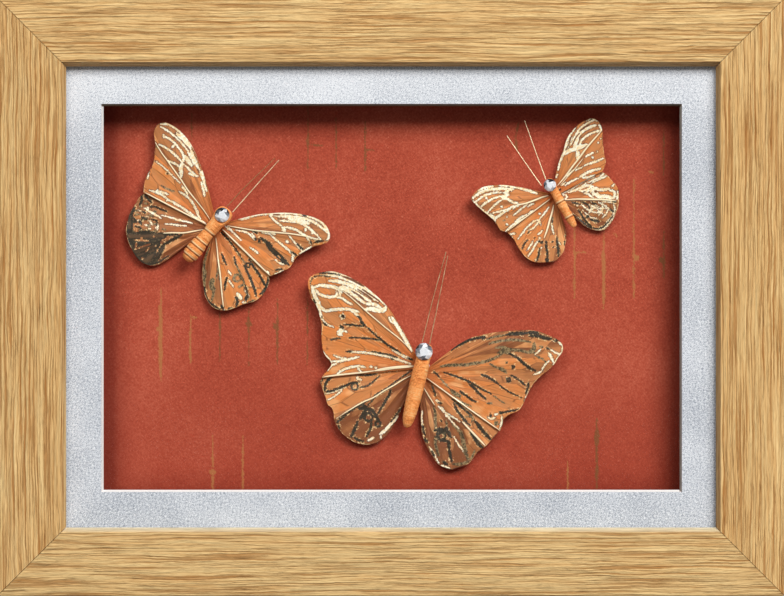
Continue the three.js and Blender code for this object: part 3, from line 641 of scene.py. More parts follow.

# Each wing: `root` holds its leading and trailing root, `crease` the place and rise of its main fold,
# `edge` the outline from the leading edge round the tip, `tone` the warmth of the paper above and
# below `fold`, which is the first rib where it isn't given; a low tone is partly painted shade, where the
# hindwings' lower halves face away from the light. Ribs and foil marks are strokes: half width,
# then points. `bare` strokes take foil away, and eyes are rings: half width, middle and radius.
wings = {
    "large_forewing_left": {
        "root": ((-1.2, 3), (-1.2, 0.2)), "crease": (0.46, 1.1), "tone": (0.5, 0.85),
        "edge": [
            (-9, 12.2), (-14.5, 17.8), (-21, 23.9), (-28, 28.2), (-36, 31.8), (-44, 33.8),
            (-50, 34.1), (-55, 32.4), (-58.6, 30), (-59.8, 27.5), (-59, 24.2), (-56.5, 19.9),
            (-53.4, 16.8), (-51, 13), (-48.9, 9), (-47.8, 4), (-46, -1.5), (-44, -4.2),
            (-41.3, -6.2), (-40.4, -7.6), (-41.1, -10), (-42.9, -13.1), (-43.4, -14.8),
        ],
        "rib": [
            (0.32, -6.5, 7.4, -10, 9.8, -14, 12, -20, 14.7, -26, 17.7, -30, 19.7, -34, 21.9, -40, 25,
             -46.5, 27.8),
            (0.7, -3.6, 0.6, -9, -1.1, -15, -3.3, -20, -5.5),
            (0.4, -20, -5.5, -26, -7.9, -32, -10, -38, -12.2, -43, -14.2),
        ],
        "gold": [
            (0.75, -6, 7.2, -9.5, 11, -13, 14.6, -16, 17.6, -18.6, 20.1),
            (0.45, -19.8, 19.9, -18.6, 18.3, -16.8, 17.6),
            (0.45, -22, 24.6, -26, 27.4, -31, 29.8, -36, 31.8, -42, 33.2, -48, 33.9, -53, 33),
            (0.6, -22.6, 25, -26, 26.9, -30, 28.6, -36, 30.5, -42, 31.9, -48, 32.4, -53, 31.6),
            (0.75, -26.5, 25.6, -31, 27.3, -36, 28.8, -41, 29.9, -46, 30.2, -50.5, 29.6),
            (0.75, -30, 25, -35, 26.4, -39, 27.7, -44, 28.6),
            (0.7, -32, 23.4, -36, 25, -40, 26.7, -45, 28),
            (1.0, -31.3, 20.7, -28.5, 21.7, -25.5, 21.7, -23, 22.5, -22.3, 24),
            (0.7, -24.5, 23.2, -28, 24, -31.5, 23.2),
            (0.8, -57.5, 25.3, -56.3, 22.8, -54.2, 19.8, -52.6, 16.8, -51, 13.8, -50, 12.2),
            (0.7, -56.5, 25, -54, 26.5, -50, 27, -46.5, 27.2, -44.3, 26, -44, 24),
            (0.6, -55.4, 24, -53.8, 22.7, -50.5, 22.2, -47.5, 22.6, -45.6, 23.8, -46, 25.6),
            (0.45, -46, 23, -43, 23.2, -40.5, 22.2, -37.5, 21.4),
            (0.65, -53.2, 19.5, -51.5, 17, -49, 15.8, -46, 16.9, -42, 18.2, -38, 19, -34, 18.9),
            (0.5, -38, 19, -35, 17.8, -33, 16.6), (0.35, -50, 12.5, -48, 10.4, -45.5, 9.6, -43.5, 9.3),
            (1.6, -41.2, 15.1, -40.2, 15.1), (1.3, -40.6, 8, -39.2, 8.6), (0.6, -41, 7, -39, 6.6),
            (0.4, -38, 8.9, -37, 8.6), (0.5, -14.6, 5.5, -11, 4.6, -8, 3.8, -5.6, 3.6),
            (0.45, -34, 0.2, -30, 0.8, -25, 1.6, -20, 2.1, -15, 2.1, -9, 1.7, -5, 1.4),
            (0.5, -40, -6, -37, -5.2, -33, -3.2, -29, -1.2),
            (0.5, -47, -1.6, -45, -3.6, -42.5, -5.2, -40.4, -6.7),
            (0.4, -41.2, -10.5, -40.2, -8, -38, -6.6),
            (0.5, -36.6, -11, -35, -9, -32, -7, -28.5, -5.5, -25, -5), (0.5, -22.8, -4.4, -21.8, -4.2),
            (0.5, -20.5, -4.2, -19.6, -4.1), (0.3, -40.5, -3.2, -37, -3.6, -33, -3),
            (0.4, -28.6, -5.9, -26.5, -7.5),
        ],
        "black": [
            (0.22, -58.3, 25.6, -58.6, 27.8, -57.3, 29.8, -54, 31.1, -50.5, 31.4),
            (0.25, -56, 31.8, -51, 33, -46, 33.3), (0.35, -55.4, 19.7, -54.2, 18.2),
            (0.35, -53, 15.6, -51.8, 14.2), (0.4, -49.9, 12.6, -49.6, 12.3),
            (0.45, -48.4, 10, -46.6, 9.4), (0.7, -41, 15.6, -40, 14.8), (0.6, -40.5, 10.7, -39, 9.9),
            (0.38, -39.4, 11.5, -36, 12.3, -32, 12.8, -29.6, 13.4),
            (0.5, -34, 16.9, -32.4, 16, -31.4, 14.6, -29.6, 13.6),
            (0.42, -29, 13.2, -25, 11, -21, 9, -17, 7.2, -13, 6, -10.5, 5.2),
            (0.36, -35.4, 6.3, -31, 7.4, -26, 8.2, -20.5, 8.8), (0.35, -43.6, 3.2, -41, 4.5, -39.3, 5),
            (0.3, -24, 2.5, -19, 3, -15.5, 3.2, -11.5, 2.7), (0.4, -14.4, 1.7, -13.2, 1.4),
            (0.4, -35.2, -0.2, -32.8, 0.4), (0.4, -7, 3.6, -4.6, 3.5),
        ],
        "bare": [
            (0.25, -24.2, 24.6, -26, 24.8, -27.6, 25.6), (0.3, -25.5, 25.8, -30, 27.6, -35, 29.4),
            (0.3, -29, 26, -33, 27.6, -37, 28.9), (0.28, -33, 25.3, -36.5, 26.6, -39.5, 27.6),
            (0.22, -31.5, 24.3, -35, 25.6), (0.5, -34.5, 30.9, -40, 32.4, -45, 33),
        ],
    },
    "large_hindwing_left": {
        "root": ((-1.2, 1), (-1.2, -5)), "crease": (0.36, 0.9), "tone": (0.5, -0.05),
        "edge": [
            (-40.5, -12.2), (-42.9, -14.6), (-43.5, -16.2), (-41.5, -19.7), (-39, -23.3),
            (-37.5, -25.9), (-35.5, -26.8), (-34, -29), (-33, -32), (-31.3, -34.3),
            (-28.5, -36.8), (-25, -38.6), (-21.5, -39.7), (-18, -39.8), (-14, -38.9),
            (-11, -37), (-8.5, -34), (-6.5, -30), (-5, -25),
        ],
        "rib": [
            (0.35, -3.6, -3.8, -6.5, -6.3, -10, -9.9, -14, -13.6, -18, -17.8, -22, -20.8, -27, -25.6,
             -32.3, -31.2),
        ],
        "gold": [
            (0.28, -40.3, -21.6, -36, -19.3, -32, -16.6), (0.28, -38, -23.9, -35.5, -21.5, -32.8, -18),
            (0.55, -27.4, -10.3, -26.6, -11.2, -25.4, -11), (0.7, -7, -27, -9, -31, -11, -33.4),
            (0.45, -5, -23.5, -7, -27.5), (0.5, -13.4, -35.6, -15.6, -37.6),
            (0.35, -10.5, -33.8, -10, -35.3),
        ],
        "black": [
            (0.3, -3.8, -1.4, -6.2, -4.2, -9.5, -8, -12.8, -11.8),
            (0.45, -12, -11.4, -15, -14.3, -18, -17.3),
            (0.35, -20, -19.6, -23.5, -23, -27, -26.6, -30, -30),
            (0.5, -26, -12.3, -29, -13.6, -32.5, -16, -36.5, -18.8, -40, -20.6),
            (0.55, -38.6, -13.2, -40.3, -15.2, -40.8, -17.6, -40.2, -20.4), (0.3, -42.6, -15.2, -43, -17),
            (0.35, -25, -14.6, -22, -13.2, -20, -10.8, -17.5, -7.2), (0.3, -28, -9.6, -24, -8.7, -19, -7),
            (0.25, -16, -4.9, -12, -3.4, -9, -2.3),
            (0.5, -10.9, -12.4, -11.6, -16, -13, -20.5, -14.2, -24.8),
            (0.3, -17.2, -17.2, -18.6, -20, -20, -22.4),
            (0.85, -22.6, -22.2, -20.6, -23.2, -20.4, -25.6, -21.6, -28.6),
            (0.75, -23.6, -24.2, -20, -23.6, -16.8, -23.8, -14.8, -25.8, -12.4, -28),
            (0.5, -16.3, -28.4, -15.8, -31.6, -16.8, -36), (0.7, -22.3, -30.4, -22.9, -34, -23.6, -37.8),
            (0.45, -31.6, -33, -30, -30.6, -28.4, -28.6), (0.3, -30.8, -33.6, -29.5, -35.4),
            (0.5, -22, -37.8, -19.8, -38.4, -17.4, -38.4), (0.35, -4.4, -19.4, -5.8, -23, -7.4, -26.8),
        ],
        "eyes": [(0.45, -27.5, -14.9, 1.5), (0.55, -18, -27, 1.9), (0.5, -13, -29, 1.2)],
    },
    "large_forewing_right": {
        "root": ((1.2, -0.8), (1.2, -2.5)), "crease": (0.38, 0.9), "tone": (0.25, 0.65),
        "fold": (2, 1, 12, 8, 33.5, 16, 56, 24),
        "edge": [
            (11.6, 12.3), (15, 16.2), (19.5, 19.9), (25, 22.8), (31, 25.4), (38, 27.8),
            (45, 29.6), (49.5, 29.8), (54, 29.1), (58, 28.3), (60.6, 26.4), (61.3, 23.5),
            (60, 20.4), (59, 17), (56.4, 13), (53.5, 9.1), (51.5, 5.1), (50.3, 0.4),
            (49.5, -4.1), (48.3, -7.3), (45, -10.1), (42.9, -12.5), (42.5, -13.6),
            (42.7, -16), (42, -19),
        ],
        "rib": [(0.36, 3.6, -3.2, 15, -7.9, 28, -13.1, 42, -18.5)],
        "black": [
            (0.55, 11.6, 12, 14, 14.6, 17, 17.4, 20, 19.3, 23, 20.6, 25.3, 21.8),
            (0.9, 23.8, 20.8, 25.2, 21.2), (0.75, 34.6, 25, 37, 26, 40, 26.9, 43.4, 27.8),
            (0.85, 44, 28.2, 46.5, 28.8, 48.4, 29), (0.75, 45, 26.9, 49, 27.9, 52, 27.7, 55, 27.9),
            (0.55, 56.6, 27.4, 57.6, 27.8), (0.6, 38, 16.6, 42, 15.8, 45, 14.1, 48, 12.8, 51.4, 12),
            (1.3, 40.8, 11.3, 41.3, 11.2), (1.35, 39.8, 5.3, 41, 4.7),
            (0.38, 40.8, 7.3, 43, 6.9, 46, 5.6, 49.4, 4), (0.4, 49.6, 6.4, 49.9, 3.6, 49.5, 0.6),
            (0.55, 27.6, 4.3, 30, 4.2, 33, 3.3, 36, 2.2), (0.32, 36, 2.2, 39, 0.7, 43, -0.5, 48, -1.5),
            (0.42, 10.6, 1.2, 14, 1, 18, 0.6, 22, 0.1, 26, -1, 30, -2.2, 34.4, -3.3),
            (0.4, 6, 0.3, 8, -0.5, 9, -1.2), (0.5, 23, -1, 26, -2.5, 29, -4.4, 32.6, -6.2),
            (0.5, 20, -5.5, 23, -6.7, 26, -7.9, 28.5, -8.4),
            (0.45, 40.2, -10.8, 42, -9.9, 45, -8.5, 48, -7), (0.7, 40, -10.3, 41, -10.8),
            (0.6, 36, -13, 36.8, -13.1), (0.6, 54.2, 23.3, 54.9, 23),
        ],
        "grey": [
            (0.42, 26, 20.4, 28.5, 22.2, 31, 23.3, 34, 24.6),
            (0.5, 27.6, 18.8, 30, 20.3, 34, 22, 38, 23.4, 42, 24, 46, 24.2),
            (0.6, 31, 17.8, 34, 18.8, 38, 18.6, 42, 19.3, 46, 19.4, 49.6, 20),
            (0.85, 47.8, 24, 48.2, 21.6, 46.6, 19.6), (1.1, 33, 16, 35.6, 17.4, 38, 17),
            (0.35, 50, 18.6, 53, 18, 55.4, 17),
            (0.65, 8.6, 3.5, 11, 4.5, 15, 5.8, 19, 6.8, 23, 8.5, 27, 10, 31, 12.6, 34.6, 15.6),
            (0.8, 34.6, 9.2, 37, 8.8, 38.6, 8), (0.45, 30, 10.2, 33, 9.4, 35, 9),
            (0.6, 37.4, 12.6, 37.8, 12.4), (0.25, 35, -3.5, 38, -4.8, 41.4, -5.8),
            (0.3, 9.6, -1.8, 13, -4, 15.6, -5.6), (0.9, 16, -5.8, 18, -7, 20.6, -7.5),
            (0.45, 18, -8.8, 22, -10.2, 26.4, -11), (0.5, 33.4, -7.8, 35.6, -7.2),
            (0.5, 50.8, 23.4, 52, 23.2), (1.0, 39, -15.6, 40.2, -15.9),
        ],
        "gold": [
            (0.6, 55.4, 21.4, 57, 19.6, 58.2, 18), (0.35, 55.6, 23.2, 58, 22.4, 60.4, 22),
            (0.3, 54.2, 12.8, 54.6, 15, 56.4, 18), (0.45, 58.4, 27.2, 60.6, 26.4, 61, 24),
            (0.35, 61, 23.4, 60, 20.4, 58.6, 16.6), (0.3, 56, 27, 57.4, 28),
            (0.35, 51.4, 22.2, 49.4, 19.2), (0.35, 35.2, -13.9, 37, -14.3, 38.6, -13.2),
            (0.4, 38, -12.2, 39.2, -11.4), (0.35, 41.4, -12, 42, -14.6, 41.8, -17.6),
            (0.3, 51, 10, 53, 11.4, 54.6, 13), (0.25, 50.6, 2, 49.8, -3),
        ],
    },
    "large_hindwing_right": {
        "root": ((1.2, -1.5), (1.2, -6)), "crease": (0.2, 0.9), "tone": (0.4, -0.08),
        "fold": (3.6, -8, 10.4, -14.6, 24.4, -18.8, 37.3, -27),
        "edge": [
            (39.5, -16.6), (41.5, -19.2), (40.3, -21.9), (37.3, -27.3), (35, -30),
            (33.3, -33.5), (32, -36.5), (30, -38.3), (27.5, -39.8), (24.6, -41.4),
            (20.7, -41.1), (18.3, -40.3), (13.9, -36.4), (11.2, -33.8), (9.1, -30.9),
            (7.3, -27.5), (5.5, -22.5),
        ],
        "rib": [(0.3, 3.6, -8, 7, -11.4, 10.4, -14.6), (0.45, 24.4, -18.8, 30, -22.4, 37.3, -27)],
        "gold": [
            (0.55, 10.4, -12, 12.6, -13.2), (0.5, 13.4, -14.6, 15, -16.4), (0.5, 16, -17.2, 18.6, -19),
            (0.35, 19, -19.4, 23.6, -22.4), (0.3, 22.4, -26.6, 25, -29.2, 27.8, -31.7),
            (0.3, 12, -14.6, 16, -16.6, 23.4, -19), (0.3, 5.4, -18.4, 5.8, -21.4, 7, -25),
            (0.3, 12.4, -33.6, 15.4, -36.4, 18.4, -40), (0.35, 20, -40.6, 24, -41),
        ],
        "black": [
            (0.42, 17.4, -9.8, 20, -11.2, 24, -13.2, 28, -15),
            (0.55, 18.6, -11.2, 20.2, -13.6, 23, -16.1, 26, -18.4, 28.2, -19.6),
            (0.75, 30, -17.2, 33, -19.4, 36, -21.6, 39, -23.6),
            (0.7, 29.2, -22.8, 32, -25, 34.4, -27.2, 36.4, -28), (0.4, 6.6, -5.8, 8.4, -8.2, 9.6, -10.4),
            (0.35, 11.4, -13, 13.2, -12.8), (0.9, 13, -25.8, 16, -24.6, 19, -25, 21, -27),
            (0.9, 17.8, -23, 18.4, -25), (0.6, 18, -29.4, 20.4, -29.2, 21.4, -32, 22.6, -35, 24.2, -38),
            (0.6, 9.4, -30.4, 11, -31.8), (0.4, 7, -24.6, 8, -27, 9.2, -29),
            (0.45, 14.2, -35.4, 15.6, -37.4), (0.7, 20.4, -38.8, 22.4, -39.6),
            (0.3, 14.6, -20.4, 15.4, -21),
        ],
        "eyes": [(0.7, 16.6, -27.5, 1.8)],
        "grey": [
            (0.6, 10, -15.4, 11.4, -18, 12.4, -22, 13.6, -26), (0.6, 14, -28, 15, -32, 17.6, -36.6),
            (0.85, 24.4, -23, 26.6, -26.6, 28.6, -31, 31, -35), (0.6, 25, -38.8, 28, -38, 31.4, -36),
            (0.5, 32, -35, 32.8, -32.6, 33, -30.4),
            (0.45, 25.4, -16.2, 27.6, -15.4, 29, -16.4, 28.4, -18), (0.6, 20.4, -21, 23, -22.6, 25, -24),
            (0.4, 17, -20, 18, -22.6),
        ],
    },
    "medium_forewing_left": {
        "root": ((-1.2, 5.6), (-1.2, 1.5)), "crease": (0.51, 0.9), "tone": (0.5, 0.8),
        "edge": [
            (-12, 13.8), (-16, 16.6), (-20, 19.2), (-26, 22.5), (-31, 24.9),
            (-36, 26.4), (-41, 26.8), (-45, 26.3), (-48, 25.1), (-49.6, 22.4), (-49, 19.3),
            (-46.8, 16.9), (-44.5, 14.8), (-42.3, 11.5), (-40, 8), (-39.2, 5), (-38.8, 2.4),
            (-38, -0.4), (-36.5, -3.2), (-34.7, -5.7),
        ],
        "rib": [
            (0.35, -3.4, 4.2, -8, 5.6, -14, 6.9, -20, 8.2, -25, 9.8, -30, 11.1, -36, 12.7, -40, 13.7, -46,
             15.8),
            (0.38, -3, 1.5, -18, -1.8, -34.4, -5.3),
        ],
        "gold": [
            (0.5, -17, 17.8, -20, 19.8, -24, 22.2, -28, 24, -32, 25.4, -37, 26.3, -42, 26.4, -46, 25.6,
             -48.6, 23.6),
            (0.4, -48, 22.6, -45, 23.2, -41, 23.4, -36, 23, -31, 22, -28, 20.2),
            (0.9, -40.5, 24.8, -37, 25, -34, 24.6, -31, 23.6),
            (0.6, -31, 23.4, -27.5, 21.6, -24, 19.8, -21, 18), (0.5, -29.6, 22.4, -27, 20.4, -25, 19),
            (0.45, -44, 20.2, -42, 20.8, -39, 21, -35, 20.4, -32, 19.4, -30, 18),
            (0.4, -44.6, 20.8, -43.6, 19.6), (0.6, -38, 19.8, -37.6, 18.8),
            (0.9, -30.6, 19.4, -28, 18.6, -25.6, 18),
            (0.45, -43.4, 15.9, -40, 16.6, -37, 17, -33, 16.8, -30, 16.2),
            (0.8, -30.5, 18, -29.6, 16.2, -28.8, 14.2, -27.6, 12.6, -26, 11),
            (0.45, -29, 16.4, -26, 16, -22.5, 15.6, -20.2, 16), (0.5, -22, 18.6, -20, 17.6, -18, 16.6),
            (0.4, -35.4, 12.7, -32.5, 13.6, -29.6, 14), (0.6, -20.4, 19, -18, 17, -15.6, 15, -13, 13.4),
            (0.45, -17.4, 15, -15.8, 13.8, -13.6, 12.2, -12, 10.9), (0.45, -24.4, 14.3, -20.6, 15.7),
            (0.4, -23, 7.7, -21, 7.4, -18.5, 6.6),
            (0.45, -22.4, 5.1, -19, 5.6, -15, 5.2, -12, 4, -9, 2.4, -7, 1.7), (0.5, -11.5, 4, -9, 2.6),
            (0.4, -30.5, -1, -28, 0, -25.4, 0.9), (0.4, -33.4, -3.2, -30.5, -2, -27, -1, -24.4, -1),
            (0.35, -30.6, -0.6, -30.4, -1.8),
            (0.5, -24, -1.2, -21, -0.4, -17, 0.2, -12, 0.5, -8, 0.9, -4, 1.3),
            (0.35, -24.4, -0.8, -24.2, -2), (0.4, -38, 1.8, -37.4, 0.4), (0.3, -39, 3.4, -38.2, 1.2),
            (0.25, -40, 8.9, -36, 9.2, -30, 8.8, -24.6, 8.4),
        ],
        "grey": [(0.3, -30.6, 2, -28, 2.4, -24.4, 3.6), (0.3, -44, 14.4, -42.4, 14.4)],
        "bare": [
            (0.45, -46.8, 24, -45.2, 24.2), (0.5, -43.4, 24.7, -40.6, 24.6),
            (0.35, -29.4, 16.7, -26.4, 17), (0.45, -24, 17, -23.4, 17.2),
            (0.35, -22.8, 18.4, -20.8, 17.6), (0.3, -34, 23.4, -30.6, 22.8),
        ],
        "black": [(0.45, -32, 8.1, -31.6, 7.8)],
    },
    "medium_hindwing_left": {
        "root": ((-1.2, 2.2), (-2.2, -3)), "crease": (0.5, 0.8), "tone": (0.12, 0.05),
        "edge": [
            (-32.5, -3.8), (-34.3, -5.9), (-34.9, -8), (-34.6, -11), (-34, -15), (-33.3, -18),
            (-31.9, -20.7), (-30.5, -23.5), (-28, -26), (-25.5, -27.8), (-22.5, -29.2),
            (-19.5, -30.4), (-16, -31), (-13.5, -30.6), (-11, -29.5), (-9, -27.3),
            (-7.5, -24.5), (-6.5, -21.5),
        ],
        "rib": [(0.36, -3, -1.4, -6, -5, -9, -8.4, -13, -11.6, -16, -14.4)],
        "black": [
            (0.5, -33.8, -6.3, -31, -6.6, -29, -6.9), (0.6, -34.4, -7.4, -33, -9.4, -32.6, -11),
            (0.4, -27.4, -7.6, -24, -6.6, -21, -5.6), (0.45, -28.8, -8.7, -27.4, -8.4),
            (0.45, -29.6, -12.7, -28, -12.3), (0.6, -33.8, -13.2, -33, -15.8, -32.4, -18.4),
            (0.5, -28.4, -15, -25.6, -14.2), (0.6, -28, -17, -26, -17.6), (0.5, -31, -17.4, -28.6, -18.4),
            (0.45, -28, -20, -25, -19), (0.45, -29, -22.4, -27.6, -24.6, -26.4, -27),
            (0.3, -24.4, -12.8, -22, -12, -20.6, -13.4),
            (0.45, -10, -10.4, -13, -12.8, -16.4, -15.4, -20, -18.4, -22.8, -21.2, -24.6, -24.4, -25,
             -27.4),
            (1.9, -32.6, -17.6, -30.4, -21.4, -27.4, -24.8, -23, -27.4, -19, -28.9, -15.4, -29.4, -12.6,
             -28.4, -10.8, -26.4),
            (3.2, -24.6, -24, -20.6, -21, -16, -17.6), (2.4, -26.4, -23.6, -25.4, -25.8),
            (3.0, -22, -26, -18, -24, -15, -20), (2.4, -20, -28, -17, -26.6),
            (1.6, -17.4, -17, -14.6, -15), (2.2, -16, -22, -14.4, -25, -13.6, -28.6),
            (1.0, -12.4, -17.6, -11.4, -23, -10.6, -27.6), (0.6, -9, -9.5, -10.4, -13, -12.4, -18),
            (0.35, -7.6, -21, -9, -25.4, -10.6, -28.6),
        ],
        "grey": [
            (0.5, -33, -10.5, -31.5, -12), (0.4, -31.6, -9, -30, -8.6), (0.5, -30, -14.4, -31.4, -16.4),
            (0.5, -26.4, -12, -24.6, -11.4), (0.5, -27.6, -16, -26.8, -14.8),
            (0.6, -24, -16.4, -22.6, -15.6), (0.5, -22, -14, -20.6, -12.8), (0.4, -26, -9.4, -24.6, -8.8),
            (0.6, -30.6, -19.8, -29.4, -18.6), (0.7, -25.6, -20.4, -24, -19.4),
            (0.5, -19.8, -16.4, -18.6, -15.2), (0.6, -32.4, -14.6, -31.6, -14),
            (0.5, -23.4, -18.4, -21.6, -17.6), (0.4, -17.4, -13, -16, -12.4),
        ],
        "bare": [
            (0.5, -18.4, -18.2, -18.2, -18.4), (0.6, -22.4, -22.4, -22, -22.4),
            (0.5, -15, -21, -14.8, -21.2), (0.4, -22.6, -25.6, -21.6, -27.4),
            (0.3, -16.6, -23.6, -16.8, -26), (0.5, -16.4, -29.4, -15.6, -29.4),
            (0.35, -24, -25, -19, -21.4), (0.3, -21.4, -28.4, -17.4, -22),
        ],
        "gold": [
            (0.4, -30, -11, -26, -10.4, -21, -9.6),
            (0.3, -22, -8.6, -18, -6.6, -14, -5, -11, -3.4, -8.6, -2.4),
            (0.35, -18, -10.6, -15, -8.4, -12, -6.4, -10, -5), (0.3, -15.4, -5.8, -13.6, -4.4),
            (0.3, -19, -14.8, -20.4, -12.6), (0.5, -33, -17.6, -32.4, -18.2),
            (0.5, -30.8, -22.2, -30.2, -22.6), (0.35, -24.6, -14, -22.4, -14.4),
            (0.3, -31.6, -13.4, -30.2, -13), (0.3, -27, -13.4, -25.8, -13),
            (0.3, -24.8, -16.8, -24, -16.2), (0.3, -22.6, -17, -21.6, -16.4),
            (0.3, -29.4, -10, -28.4, -9.8), (0.3, -28.8, -17.4, -28, -16.6),
            (0.3, -20.4, -14.6, -19.6, -14),
        ],
    },
    "medium_forewing_right": {
        "root": ((1.2, 5.2), (1.2, 4.3)), "crease": (0.52, 0.9), "tone": (0.5, 0.75),
        "edge": [
            (9.5, 16.8), (12.5, 20.5), (16, 24), (21, 28.5), (26, 32), (31, 34.7),
            (35, 36), (38.5, 36.3), (42, 35.2), (44.3, 33.1), (44.8, 30.9), (43.8, 28.5),
            (41.8, 25.9), (40.3, 22.4), (39, 18.9), (38.3, 16), (38.8, 13), (38.8, 10),
            (38, 8.3), (36.8, 5.8), (35.3, 3.2), (34.2, 1.6),
        ],
        "rib": [
            (0.36, 4.4, 7, 9, 9.6, 15, 13, 20, 16.4, 25, 19.8, 30, 23.2, 36, 26.6, 41.4, 29.2),
            (0.42, 4, 4.4, 18, 3.3, 34, 2),
        ],
        "gold": [
            (0.5, 6.6, 12.8, 9.4, 16.4, 12.4, 20.2, 15.8, 23.6, 20, 27.4, 24, 30.4, 28, 32.8),
            (0.5, 28, 32.8, 32, 34.8, 36, 35.8, 39.6, 35.6, 42.6, 34.4, 44, 32.6, 43.9, 31),
            (0.75, 7.4, 13.4, 10, 17.2),
            (0.55, 16, 23.4, 20, 25.8, 25, 29.4, 29, 31.8, 33, 33.4, 37, 34, 41, 34),
            (0.9, 40, 34.8, 42.2, 34.2), (0.4, 16.6, 23.2, 20, 22.8, 24, 22.9),
            (0.5, 18.6, 24.6, 22, 27.2, 25, 28.6), (0.8, 24.4, 27.6, 27, 29, 30, 30.6, 33, 32),
            (0.45, 22, 24.4, 25, 26.6, 28, 28.6, 32, 30, 37, 30.2, 42, 29.6),
            (0.7, 33.4, 29.2, 33.6, 28.2), (0.35, 37, 29.8, 36.8, 29),
            (0.45, 24.4, 22.6, 27, 24.4, 30, 25.8, 34, 26.3, 37, 27, 41.6, 29),
            (0.9, 25, 22.4, 26.6, 22.2), (0.45, 20.6, 24.4, 23.4, 26),
            (0.35, 35.8, 26.4, 38, 25.8, 40, 25), (0.3, 28.8, 21.8, 32, 21.2, 36, 20.4, 38.4, 20),
            (0.45, 40.4, 24, 39.4, 21, 38.4, 18.4), (0.5, 29.8, 19.2, 31.2, 18.8),
            (0.4, 22.4, 16.6, 26, 16.4, 30, 16.4, 34, 16.4, 37.4, 16), (0.5, 36.6, 15.6, 38, 13.6),
            (0.6, 22, 17.6, 24, 18), (0.4, 19, 15, 22.4, 16.8), (0.35, 9, 8, 12, 9.8, 15, 10.6, 18.6, 10),
            (0.35, 4, 6.2, 8, 6.4, 13.6, 6), (0.35, 5, 7, 7.6, 6.6), (0.35, 19, 6, 22.4, 6.4, 23.6, 6.2),
            (0.3, 31.6, 9.2, 34, 9.2, 36, 10), (0.5, 37.6, 7.6, 36.8, 5.4, 35.6, 3.8),
            (0.4, 32, 2.6, 33.4, 2.4), (0.3, 18, 11, 15.6, 11.4), (0.3, 15, 12.6, 16.4, 12.8),
        ],
        "black": [
            (1.1, 24.4, 12, 27, 11.8, 30, 11.6, 34, 11.4, 37.6, 11.3), (0.7, 20, 12.6, 23, 12.8, 26, 13),
            (0.5, 19.4, 11.6, 21, 10.6), (0.6, 18.4, 10.8, 19, 10.6),
            (0.45, 34.6, 21.2, 37, 20.9, 38.6, 20.8), (0.45, 34.8, 16.6, 38, 17),
            (0.35, 38.4, 26, 40, 25.2), (0.4, 40.2, 26.4, 41.6, 28.4, 43.2, 30),
            (0.4, 34.6, 5.4, 36.8, 8), (0.3, 28, 33, 30, 33.6), (0.35, 15, 13, 17.6, 13.2),
        ],
        "bare": [(0.25, 31.4, 11.4, 33, 11.2), (0.3, 17.6, 24.4, 20, 26.4), (0.3, 20.4, 24.2, 22.6, 26)],
    },
    "medium_hindwing_right": {
        "root": ((1.2, 4), (2.2, -1)), "crease": (0.48, 0.8), "tone": (0.7, 0.3),
        "edge": [
            (32.5, 2.6), (34.3, 1.1), (35.5, 0), (36.6, -2.4), (37.3, -5.5), (37.2, -8.5),
            (36.3, -11.6), (34.7, -14), (33, -16.6), (31.7, -19), (30, -21.8), (28.3, -23.9),
            (26, -25.2), (23, -26), (20, -25.4), (17, -24.1), (14.3, -21.9), (11.5, -19.4),
            (8.5, -15.8), (6, -12.4),
        ],
        "rib": [(0.36, 4, -0.6, 8, -4.4, 12, -8.4, 16, -12, 19, -15, 23, -19, 27, -22.8)],
        "black": [
            (0.35, 4.4, 3, 9, 2.4, 14, 1.4, 18, 0.4), (0.5, 22, 1.6, 26, 0.2, 30, -0.8, 34, -2.4, 36, -3),
            (0.6, 34.4, 0.6, 36, -2, 36.6, -5, 36.4, -7.6),
            (0.55, 22, -2, 25, -3.4, 28, -4.8, 31, -6.4, 34, -8.2, 35.6, -9.4),
            (0.4, 28.4, -8.8, 31, -10.6, 33.4, -12.8), (0.8, 32.2, -12.6, 33, -13.6),
            (0.4, 10.6, -4.4, 13, -5.8, 15.6, -7), (0.35, 16, -1.8, 18, -3.4, 19.6, -4.4),
            (0.5, 19.6, -11.2, 20.6, -13.6, 22.4, -16.4), (0.6, 28.4, -15.6, 30.6, -17, 31.4, -19),
            (0.45, 30.8, -20.6, 29.2, -22), (0.6, 25.8, -22.8, 27.6, -23.8),
            (0.5, 14.4, -21.4, 16.4, -23.4, 19, -25, 23, -25.2, 26.4, -24.8), (0.4, 17, -13.2, 17.8, -14),
        ],
        "eyes": [(0.4, 23.4, -0.8, 1.0)],
        "greyEyes": [(0.5, 23.4, -8.6, 1.6)],
        "grey": [
            (0.4, 14, 1, 18, 0, 22, -1), (0.35, 17, -2.6, 21, -5, 24, -6.4, 27, -8, 29, -10),
            (0.5, 26.4, -11.4, 27.4, -9.4), (0.35, 11.4, -7.6, 13.6, -10, 15, -12.6, 16, -15),
            (1.1, 15, -16, 16.4, -18.6, 18.6, -19.6), (0.5, 18.6, -19.6, 20, -22, 21, -24.4),
            (0.4, 4.6, -6, 6, -10.4, 8.4, -14.4, 11, -17.6, 13.6, -20.6),
            (0.35, 10, -15, 12.6, -19, 14.6, -21.4), (0.35, 34.4, -14.4, 36.2, -11),
        ],
        "gold": [
            (0.35, 18, -8.6, 20.4, -9.2), (0.3, 21.4, -11.8, 24.6, -12.8), (0.9, 28, -14, 31, -14.8),
            (0.35, 29.6, -10.6, 33, -11.6), (0.4, 32.4, -15.6, 33.6, -14.6),
            (0.35, 20, -25.6, 20.6, -25.4), (0.35, 28, -23.8, 28.4, -23.6),
        ],
    },
    "small_forewing_left": {
        "root": ((-1, 2.5), (-1, 0.7)), "crease": (0.63, 0.7), "tone": (0.5, 0.85),
        "edge": [
            (-11, 11.5), (-14, 14), (-18, 17), (-22, 19.2), (-26, 20.9),
            (-29, 21.2), (-32, 20.5), (-34.3, 19.3), (-34.5, 18), (-33.7, 15), (-32.7, 12),
